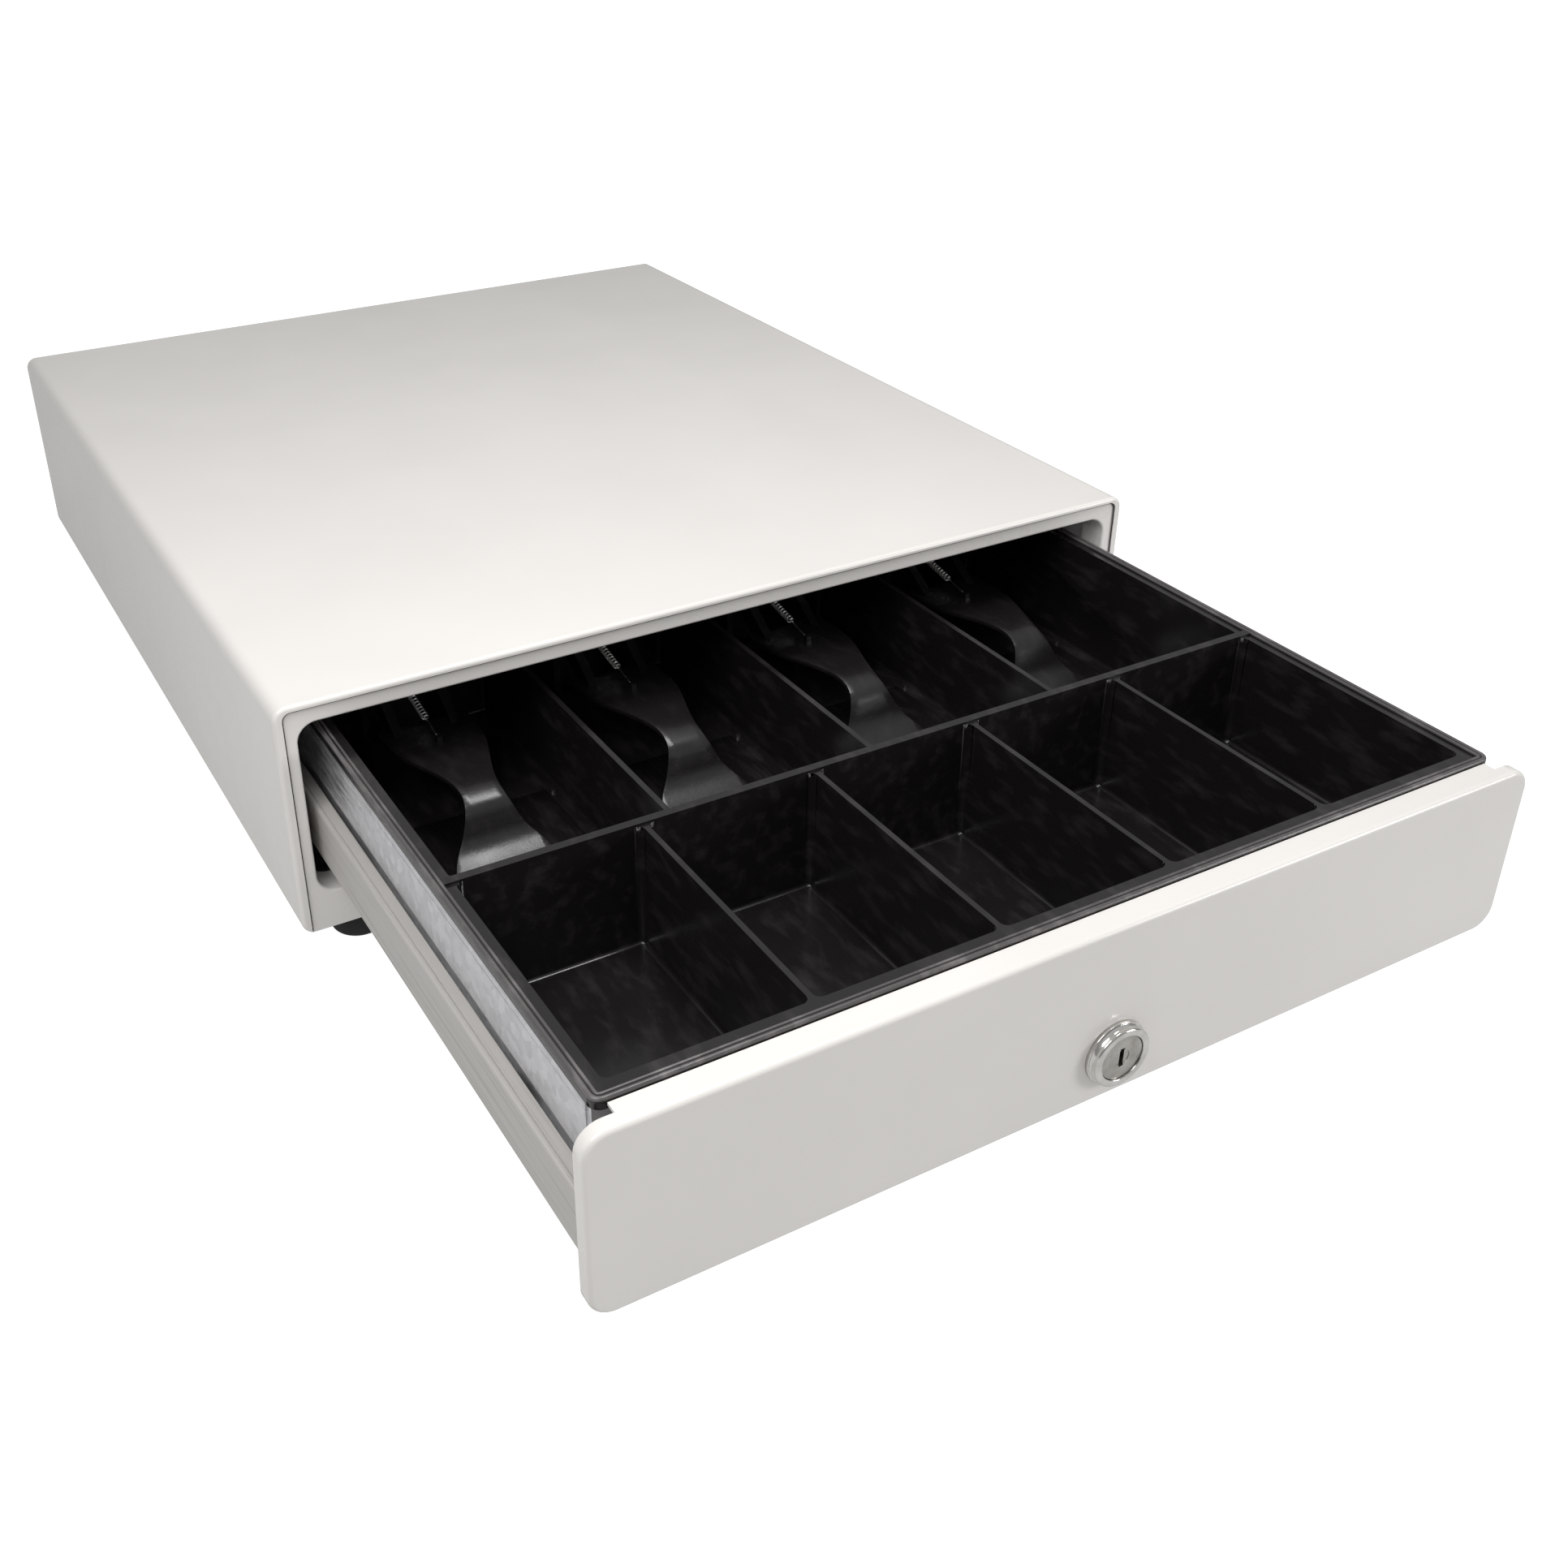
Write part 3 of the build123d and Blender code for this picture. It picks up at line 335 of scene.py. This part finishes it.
def galvanised(name, bright, dull, rough):
    """Hot-dipped zinc: bright metal in spangles a few mm across, each a slightly different grey."""
    tree, shader, place = blank(name)
    shader.inputs["Metallic"].default_value = 1.0
    inputs = {"Vector": place, "Scale": 1 / 3.0, "Randomness": 1.0}
    cells = add(tree, "ShaderNodeTexVoronoi", inputs, feature="F1")
    grey = add(tree, "ShaderNodeSeparateColor", {"Color": cells.outputs["Color"]})
    colour = mixed(tree, grey.outputs["Red"], linear(bright), linear(dull))
    tree.links.new(colour, shader.inputs["Base Color"])
    streaks = noise(tree, place, 1.5, 6.0, (1, 12, 1))
    tree.links.new(spread(tree, streaks, rough * 0.75, rough * 1.35), shader.inputs["Roughness"])
    relief(tree, shader, noise(tree, place, 0.8, 4.0), 0.01)


def tray_galvanised_steel():
    """Drawer tray: bright spangled zinc, mottled where the light catches it."""
    galvanised(FINISH_NAMES["tray_galvanised_steel"], "#E6E6E9", "#D2D3D6", 0.44)


def base_galvanised_steel():
    """Base sheet: the same zinc, duller underneath."""
    galvanised(FINISH_NAMES["base_galvanised_steel"], "#B9BABC", "#939597", 0.45)


def worn_metal(name, bright, dull, rough, stretch):
    """Plain metal with fine grain along one way and cloudy handling marks."""
    tree, shader, place = blank(name)
    shader.inputs["Metallic"].default_value = 1.0
    marks = noise(tree, place, 6.0, 5.0)
    share = spread(tree, marks, 0.0, 1.0)
    tree.links.new(mixed(tree, share, linear(bright), linear(dull)), shader.inputs["Base Color"])
    grain = noise(tree, place, 0.25, 2.0, stretch)
    tree.links.new(spread(tree, grain, rough * 0.7, rough * 1.3), shader.inputs["Roughness"])
    relief(tree, shader, grain, 0.003)


def runner_rolled_steel():
    """Runner channels: cold-rolled steel, drawn lengthwise and lightly oiled."""
    worn_metal(FINISH_NAMES["runner_rolled_steel"], "#8E8F91", "#6C6D6F", 0.32, (1, 30, 1))


def plated_steel():
    """Screws, pins and rivets: bright zinc plate."""
    worn_metal(FINISH_NAMES["plated_steel"], "#D0D0CE", "#A8A7A3", 0.28, (1, 1, 1))


def bracket_zinc_steel():
    """Brackets and yokes: pressed sheet, zinc plated, slightly blue."""
    worn_metal(FINISH_NAMES["bracket_zinc_steel"], "#BFC3C8", "#8F949B", 0.36, (1, 8, 1))


def plunger_turned_steel():
    """Plungers: turned and ground, with rings of fine tool marks."""
    worn_metal(FINISH_NAMES["plunger_turned_steel"], "#C4C4C5", "#97989A", 0.22, (20, 20, 1))


def spring_steel():
    """Springs: bright drawn wire with a satin shine."""
    worn_metal(FINISH_NAMES["spring_steel"], "#F6F5F3", "#DEDCD9", 0.3, (1, 4, 1))


def lock_chrome():
    """Lock housing: polished chrome plate with faint wipe marks."""
    worn_metal(FINISH_NAMES["lock_chrome"], "#E6E5E2", "#CBC9C5", 0.1, (1, 1, 6))


def lock_plug_nickel():
    """Lock plug: satin nickel, scratched by keys round its slot."""
    worn_metal(FINISH_NAMES["lock_plug_nickel"], "#C9C7C2", "#9F9C96", 0.3, (1, 1, 8))


def moulded_plastic(name, colour, rough, grain, depth, scuffs):
    """Black moulding: fine spark-eroded grain, clouded gloss and paler scuffs from coins and hands."""
    tree, shader, place = blank(name)
    shader.inputs["IOR"].default_value = 1.52
    scratches = noise(tree, place, 5.0, 8.0, (1, 3, 1))
    share = spread(tree, scratches, 0.0, scuffs, 0.5, 0.85)
    pale = tuple(c * 4 + 0.01 for c in colour[:3]) + (1.0,)
    tree.links.new(mixed(tree, share, tuple(colour), pale), shader.inputs["Base Color"])
    gloss = noise(tree, place, 18.0, 6.0)
    tree.links.new(spread(tree, gloss, rough * 0.8, rough * 1.25), shader.inputs["Roughness"])
    texture = noise(tree, place, grain, 3.0)
    relief(tree, shader, texture, depth)


def rim_painted_highlight_abs():
    """Rim beads: the insert's plastic, smoother, and painted paler so that such thin beads show: the paler
    colour is a painted highlight, not a paler plastic.
    """
    # Painted highlight: five times the insert's colour, so that the thin beads read as lit edges.
    painted_highlight_colour = tuple(c * 5 + 0.03 for c in look().insert_colour[:3]) + (1.0,)
    moulded_plastic(FINISH_NAMES["rim_painted_highlight_abs"], painted_highlight_colour, 0.3, 2.0, 0.002, 0.5)


def insert_black_abs():
    """Till insert: semi-gloss black ABS with a fine grain and coin scuffs."""
    moulded_plastic(FINISH_NAMES["insert_black_abs"], look().insert_colour, 0.22, 0.5, 0.014, 0.6)


def clip_black_abs():
    """Note clips: the same plastic, polished by notes, with a slightly coarser grain all over."""
    moulded_plastic(FINISH_NAMES["clip_black_abs"], look().insert_colour, 0.28, 0.8, 0.035, 0.3)


def socket_black_nylon():
    """Cable socket and snap switch: matt black nylon."""
    moulded_plastic(FINISH_NAMES["socket_black_nylon"], linear("#1C1C1D"), 0.5, 0.6, 0.01, 0.2)


def foot_rubber():
    """Feet: dull moulded rubber, dusty where it meets the counter."""
    moulded_plastic(FINISH_NAMES["foot_rubber"], linear("#161616"), 0.7, 0.4, 0.02, 0.4)


def roller_nylon():
    """Rollers: waxy natural nylon that lets a little light in."""
    tree, shader, place = blank(FINISH_NAMES["roller_nylon"])
    dusty(tree, shader, place, linear("#E4E1D8"), 0.85, 4.0)
    shader.inputs["Subsurface Weight"].default_value = 0.2
    shader.inputs["Subsurface Radius"].default_value = (0.002, 0.0015, 0.001)
    tree.links.new(spread(tree, noise(tree, place, 2.0), 0.35, 0.5), shader.inputs["Roughness"])
    relief(tree, shader, noise(tree, place, 1.0), 0.01)


def coil_copper_tape():
    """Solenoid winding: dark tape over copper, showing each turn of wire as a ridge."""
    tree, shader, place = blank(FINISH_NAMES["coil_copper_tape"])
    inputs = {"Vector": place, "Scale": 0.4, "Distortion": 0.2}
    turns = add(tree, "ShaderNodeTexWave", inputs, bands_direction="Z")
    colour = mixed(tree, turns.outputs["Fac"], linear("#2A241C"), linear("#5A4326"))
    tree.links.new(colour, shader.inputs["Base Color"])
    tree.links.new(spread(tree, noise(tree, place, 3.0), 0.35, 0.55), shader.inputs["Roughness"])
    relief(tree, shader, turns.outputs["Fac"], 0.08)


FINISHES = {
    "white_powder_coat": white_powder_coat,
    "fascia_powder_coat": fascia_powder_coat,
    "back_powder_coat": back_powder_coat,
    "rail_painted_steel": rail_painted_steel,
    "tray_galvanised_steel": tray_galvanised_steel,
    "base_galvanised_steel": base_galvanised_steel,
    "runner_rolled_steel": runner_rolled_steel,
    "plated_steel": plated_steel,
    "bracket_zinc_steel": bracket_zinc_steel,
    "plunger_turned_steel": plunger_turned_steel,
    "spring_steel": spring_steel,
    "lock_chrome": lock_chrome,
    "lock_plug_nickel": lock_plug_nickel,
    "insert_black_abs": insert_black_abs,
    "rim_painted_highlight_abs": rim_painted_highlight_abs,
    "clip_black_abs": clip_black_abs,
    "socket_black_nylon": socket_black_nylon,
    "foot_rubber": foot_rubber,
    "roller_nylon": roller_nylon,
    "coil_copper_tape": coil_copper_tape,
}
FINISH_NAMES = {slot: slot + "_finish" for slot in FINISHES}


# ---------------- operators ----------------

class DRAWER_OT_finishes(bpy.types.Operator):
    """Makes every finish and gives each CAD node the one its slot names"""
    bl_idname = "drawer.finishes"
    bl_label = "Finishes"

    def execute(self, context):
        for make in FINISHES.values():
            make()
        for part in frame["record"]["subparts"]:
            mesh = frame["nodes"][part["node"]].data
            mesh.materials.clear()
            mesh.materials.append(bpy.data.materials[FINISH_NAMES[part["material_slot"]]])
        return {"FINISHED"}


class DRAWER_OT_soft_edges(bpy.types.Operator):
    """Softens the edges of the sheet metal and the mouldings so that they catch the light"""
    bl_idname = "drawer.soft_edges"
    bl_label = "Soft edges"

    def execute(self, context):
        soft = ["till_insert", "front_fascia", "drawer_front", "drawer_tray", "lock_plug",
                "side_rail_left", "side_rail_right"]
        soft += ["note_clip_%d" % number for number in range(1, CLIP_COUNT + 1)]
        for name in soft:
            node = frame["nodes"][name]
            weld = node.modifiers.new("Weld", "WELD")
            weld.merge_threshold = 0.001 * MM
            bevel = node.modifiers.new("Bevel", "BEVEL")
            bevel.width = look().edge_radius
            bevel.segments = 2
            bevel.limit_method = "ANGLE"
            bevel.angle_limit = math.radians(40)
            bevel.harden_normals = True
        return {"FINISHED"}


class DRAWER_OT_clip_springs(bpy.types.Operator):
    """Winds the extension spring behind each note clip"""
    bl_idname = "drawer.clip_springs"
    bl_label = "Clip springs"

    def execute(self, context):
        wire = look().spring_wire
        coils_start = 0.22
        coils_end = 0.8
        for number in range(1, CLIP_COUNT + 1):
            node = "clip_spring_%d" % number
            low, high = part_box(node)
            anchor = Vector(joint_facts(node + "_follow")["pos_m"])
            hook = Vector((anchor.x, low.y, low.z + wire))
            radius = (high.x - low.x) / 2 - wire / 2
            points, faces = coil(hook, anchor, radius, wire, look().spring_pitch, coils_start, coils_end)
            piece = new_piece(node + "_coils", points, faces, node, "spring_steel")
            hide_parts(node)
        return {"FINISHED"}


class DRAWER_OT_return_springs(bpy.types.Operator):
    """Winds the solenoid's return spring and the kick-out spring"""
    bl_idname = "drawer.return_springs"
    bl_label = "Return springs"

    def execute(self, context):
        wire = look().return_wire
        plunger_pitch = 2.2 * MM
        ejector_pitch = 2.6 * MM
        low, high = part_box("plunger_spring")
        middle = (low + high) / 2
        start = (middle.x, middle.y, low.z + wire / 2)
        end = (middle.x, middle.y, high.z - wire / 2)
        radius = (high.x - low.x - wire) / 2
        points, faces = coil(start, end, radius, wire, plunger_pitch, 0.0, 1.0)
        piece = new_piece("plunger_spring_coils", points, faces, "cabinet", "spring_steel")
        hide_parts("plunger_spring")
        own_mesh(piece)
        low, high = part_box("ejector_spring")
        middle = (low + high) / 2
        start = (middle.x, low.y + wire / 2, middle.z)
        end = (middle.x, high.y - wire / 2, middle.z)
        radius = (high.x - low.x - wire) / 2
        points, faces = coil(start, end, radius, wire, ejector_pitch, 0.0, 1.0)
        piece = new_piece("ejector_spring_coils", points, faces, "cabinet", "spring_steel")
        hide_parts("ejector_spring")
        return {"FINISHED"}


class DRAWER_OT_lock(bpy.types.Operator):
    """Turns the stepped and rounded chrome housing of the lock"""
    bl_idname = "drawer.lock"
    bl_label = "Lock"

    def execute(self, context):
        low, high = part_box("lock_body")
        plug_low, plug_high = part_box("lock_plug")
        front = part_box("drawer_front")[0].y
        plug_gap = 0.2 * MM
        flange_edge = 0.6 * MM
        flange_thick = 1.2 * MM
        barrel_inset = 1.7 * MM
        landing = 0.1 * MM
        soft = 0.8 * MM
        fine = 0.3 * MM
        flange = (high.x - low.x) / 2
        bore = (plug_high.x - plug_low.x) / 2 + plug_gap
        ring = flange - flange_edge
        barrel = flange - barrel_inset
        step = front - flange_thick
        profile = [(bore, high.y)]
        profile += [(bore + fine - fine * math.cos(t), low.y + fine - fine * math.sin(t))
                    for t in np.linspace(0, math.pi / 2, 5)]
        profile += [(ring - soft + soft * math.sin(t), low.y + soft - soft * math.cos(t))
                    for t in np.linspace(0, math.pi / 2, 8)]
        profile += [(ring, step), (ring + landing, step)]
        profile += [(flange - fine + fine * math.sin(t), step + fine - fine * math.cos(t))
                    for t in np.linspace(0, math.pi / 2, 5)]
        profile += [(flange, front), (barrel, front), (barrel, high.y)]
        centre = ((low.x + high.x) / 2, 0, (low.z + high.z) / 2)
        points, faces = lathe(profile, centre, 96)
        piece = new_piece("lock_housing", points, faces, "drawer", "lock_chrome")
        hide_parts("lock_body")
        return {"FINISHED"}


class DRAWER_OT_rim(bpy.types.Operator):
    """Lays the two beads along the rim of the insert"""
    bl_idname = "drawer.rim"
    bl_label = "Rim beads"

    def execute(self, context):
        low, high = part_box("till_insert")
        corner = 3.5 * MM
        inner_inset = 2.4 * MM
        inner_share = 0.7
        sunk_share = 0.6
        bead = look().bead_radius
        beads = (("rim_bead_outer", bead, bead), ("rim_bead_inner", inner_inset, bead * inner_share))
        for name, inset, radius in beads:
            path, outward = ring_path(high.x - inset, low.y + inset, high.y - inset, corner - inset,
                                      high.z - radius * sunk_share)
            points, faces = tube(path, outward, radius, 12, True)
            piece = new_piece(name, points, faces, "till_insert", "insert_black_abs")
            # The record has no slot for the beads' painted highlight: the slot is the insert's, and the
            # finish, the insert's plastic painted paler as a highlight, is not.
            piece.data.materials[0] = bpy.data.materials[FINISH_NAMES["rim_painted_highlight_abs"]]
        return {"FINISHED"}


class DRAWER_OT_seam(bpy.types.Operator):
    """Draws the shadow line where the cover's lip meets the fascia, as a thin dark strip"""
    bl_idname = "drawer.seam"
    bl_label = "Fascia seam"

    def execute(self, context):
        low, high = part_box("front_fascia")
        radius = 0.2 * MM
        corner = 3 * MM
        proud = 0.5 * MM
        foot_gap = 1 * MM
        line_y = low.y - proud
        foot_z = low.z + foot_gap
        flat, outward = ring_path(high.x, -high.z, high.z, corner, 0.0)
        upper = flat[:, 1] > 0
        path = np.stack((flat[:, 0], np.full(len(flat), line_y), flat[:, 1]), axis=-1)[upper]
        outward = np.stack((outward[:, 0], outward[:, 2], outward[:, 1]), axis=-1)[upper]
        foot = np.array([[high.x, line_y, foot_z], [-high.x, line_y, foot_z]])
        path = np.concatenate((foot[:1], path, foot[1:]))
        outward = np.concatenate(([[1, 0, 0]], outward, [[-1, 0, 0]]))
        points, faces = tube(path, outward, radius, 8, False)
        # The dark strip is painted shadow in the gap; it takes the dark rubber finish for its colour, and the
        # seam holds no rubber.
        new_piece("fascia_seam_painted_shadow", points, faces, "cabinet", "foot_rubber")
        return {"FINISHED"}


class DRAWER_OT_floor_ribs(bpy.types.Operator):
    """Raises the fine ribs on the floor of each note bay"""
    bl_idname = "drawer.floor_ribs"
    bl_label = "Floor ribs"

    def execute(self, context):
        bays = [bay for bay in frame["record"]["physics"]["openings"] if bay["name"].startswith("note_bay")]
        pitch = look().rib_pitch
        floor_drop = 1.8 * MM
        inset = 3 * MM
        lift = 0.02 * MM
        rooted = 0.2 * MM
        back_reach = 45 * MM
        sharpness = 1.5
        for bay in bays:
            low, high = np.array(bay["box_m"])
            floor = low[2] - floor_drop
            count = int((high[0] - low[0] - 2 * inset) / pitch)
            half = count * pitch / 2
            x = np.linspace(-half, half, count * 8 + 1)
            ridge = np.clip(np.cos(2 * np.pi * x / pitch + np.pi), 0, 1) ** sharpness
            z = floor + lift + look().rib_height * ridge
            middle = (low[0] + high[0]) / 2
            across = np.concatenate((x, [half, -half])) + middle
            height = np.concatenate((z, [floor - rooted] * 2))
            ends = np.array((low[1], high[1] + back_reach))
            points = np.stack(np.broadcast_arrays(across[None, :], ends[:, None], height[None, :]), axis=-1)
            faces = grid_faces(2, len(across), False, True)
            faces = [face[::-1] for face in faces]
            faces.append(list(range(len(across))))
            faces.append(list(range(len(across), 2 * len(across)))[::-1])
            new_piece(bay["name"] + "_ribs", points, faces, "till_insert", "insert_black_abs")
        return {"FINISHED"}


class DRAWER_OT_stage(bpy.types.Operator):
    """Sets the pale floor, the soft studio light and the camera"""
    bl_idname = "drawer.stage"
    bl_label = "Stage"

    def execute(self, context):
        scene = context.scene
        floor_plane()
        studio_world(scene)
        for name, place, target, size, power in SOFT_BOXES:
            soft_box(name, place, target, size, power)
        photo_camera(scene)
        scene.view_settings.view_transform = "Standard"
        scene.view_settings.look = "None"
        return {"FINISHED"}


# ---------------- stage ----------------

# Each lamp's name, place, the point it is aimed at, width and length in metres, and power in watts.
SOFT_BOXES = (
    ("softbox_key", (0.03, -0.29, 0.68), (0.0, -0.22, 0.0), (0.16, 0.30), 1.9),
    ("softbox_left", (-0.40, -0.42, 0.50), (-0.14, -0.26, 0.05), (0.3, 0.3), 1.5),
    ("softbox_front", (0.85, -1.15, 0.35), (0.15, -0.3, 0.03), (0.4, 0.4), 4.5),
)


def floor_plane():
    """Plain white floor just under the feet. It glows more to the camera than it lights the object,
    so that it stays white without flooding the object from below."""
    level = cad_bounds[0].z
    half = 12.0
    seen_glow = 0.95
    cast_glow = 0.3
    mesh = bpy.data.meshes.new("floor")
    corners = [(-half, -half, level), (half, -half, level), (half, half, level), (-half, half, level)]
    mesh.from_pydata(corners, [], [(0, 1, 2, 3)])
    floor = bpy.data.objects.new("floor", mesh)
    bpy.context.scene.collection.objects.link(floor)
    material = bpy.data.materials.new("floor_white_card")
    material.use_nodes = True
    tree = material.node_tree
    shader = tree.nodes["Principled BSDF"]
    shader.inputs["Base Color"].default_value = linear("#9A9A9A")
    shader.inputs["Roughness"].default_value = 0.9
    shader.inputs["Emission Color"].default_value = (1, 1, 1, 1)
    ray = add(tree, "ShaderNodeLightPath", {})
    glow = spread(tree, ray.outputs["Is Camera Ray"], cast_glow, seen_glow, 0.0, 1.0)
    tree.links.new(glow, shader.inputs["Emission Strength"])
    mesh.materials.append(material)


def studio_world(scene):
    """Soft surround: grey at the horizon, white overhead."""
    world = bpy.data.worlds.new("studio")
    world.use_nodes = True
    scene.world = world
    tree = world.node_tree
    back = tree.nodes["Background"]
    place = add(tree, "ShaderNodeTexCoord", {})
    parts = add(tree, "ShaderNodeSeparateXYZ", {"Vector": place.outputs["Generated"]})
    strength = spread(tree, parts.outputs["Z"], 0.28, 0.5, 0.3, 0.62)
    tree.links.new(strength, back.inputs["Strength"])
    back.inputs["Color"].default_value = (1, 1, 1, 1)


def soft_box(name, place, target, size, power):
    """Area light of a width and a length, aimed at a point."""
    light = bpy.data.lights.new(name, "AREA")
    light.shape = "RECTANGLE"
    light.size, light.size_y = size
    light.energy = power
    lamp = bpy.data.objects.new(name, light)
    aim = Vector(target) - Vector(place)
    lamp.matrix_world = Matrix.Translation(place) @ aim.to_track_quat("-Z", "Y").to_matrix().to_4x4()
    bpy.context.scene.collection.objects.link(lamp)


def photo_camera(scene):
    """Camera that looks down on the left front corner of the open drawer."""
    azimuth = math.radians(-29.37)
    elevation = math.radians(29.72)
    roll = math.radians(-0.31)
    distance = 0.7125
    aim_offset = Vector((0.0192, -0.0346, -0.0371))
    aim = (cad_bounds[0] + cad_bounds[1]) / 2 + aim_offset
    forward = Vector((-math.sin(azimuth) * math.cos(elevation), math.cos(azimuth) * math.cos(elevation),
                      -math.sin(elevation)))
    right = Vector((math.cos(azimuth), math.sin(azimuth), 0))
    up = right.cross(forward)
    turned_right = right * math.cos(roll) + up * math.sin(roll)
    turned_up = up * math.cos(roll) - right * math.sin(roll)
    turn = Matrix((turned_right, turned_up, -forward)).transposed().to_4x4()
    data = bpy.data.cameras.new("camera")
    data.sensor_width = 36.0
    data.lens = 39.215
    data.shift_x = 0.0490
    data.shift_y = -0.0478
    data.clip_start = 0.01
    camera = bpy.data.objects.new("camera", data)
    camera.matrix_world = Matrix.Translation(aim - forward * distance) @ turn
    scene.collection.objects.link(camera)
    scene.camera = camera


# ---------------- panel ----------------

STEPS = (
    DRAWER_OT_finishes,
    DRAWER_OT_soft_edges,
    DRAWER_OT_clip_springs,
    DRAWER_OT_return_springs,
    DRAWER_OT_lock,
    DRAWER_OT_rim,
    DRAWER_OT_seam,
    DRAWER_OT_floor_ribs,
    DRAWER_OT_stage,
)


class DRAWER_PT_dressing(bpy.types.Panel):
    """Lists the dressing's settings and steps"""
    bl_idname = "DRAWER_PT_dressing"
    bl_label = "Cash drawer"
    bl_space_type = "VIEW_3D"
    bl_region_type = "UI"
    bl_category = "Cash drawer"

    def draw(self, context):
        for name in DrawerLook.__annotations__:
            self.layout.prop(context.scene.drawer_look, name)
        for step in STEPS:
            self.layout.operator(step.bl_idname)


CLASSES = (DrawerLook, *STEPS, DRAWER_PT_dressing)


def register():
    """Makes the classes and the scene's settings known."""
    for cls in CLASSES:
        bpy.utils.register_class(cls)
    bpy.types.Scene.drawer_look = bpy.props.PointerProperty(type=DrawerLook)


def unregister():
    """Takes them away again."""
    del bpy.types.Scene.drawer_look
    for cls in reversed(CLASSES):
        bpy.utils.unregister_class(cls)


def main():
    """Runs every step in order."""
    register()
    bpy.ops.drawer.finishes()
    bpy.ops.drawer.soft_edges()
    bpy.ops.drawer.clip_springs()
    bpy.ops.drawer.return_springs()
    bpy.ops.drawer.lock()
    bpy.ops.drawer.rim()
    bpy.ops.drawer.seam()
    bpy.ops.drawer.floor_ribs()
    bpy.ops.drawer.stage()


if __name__ == "__main__":
    main()
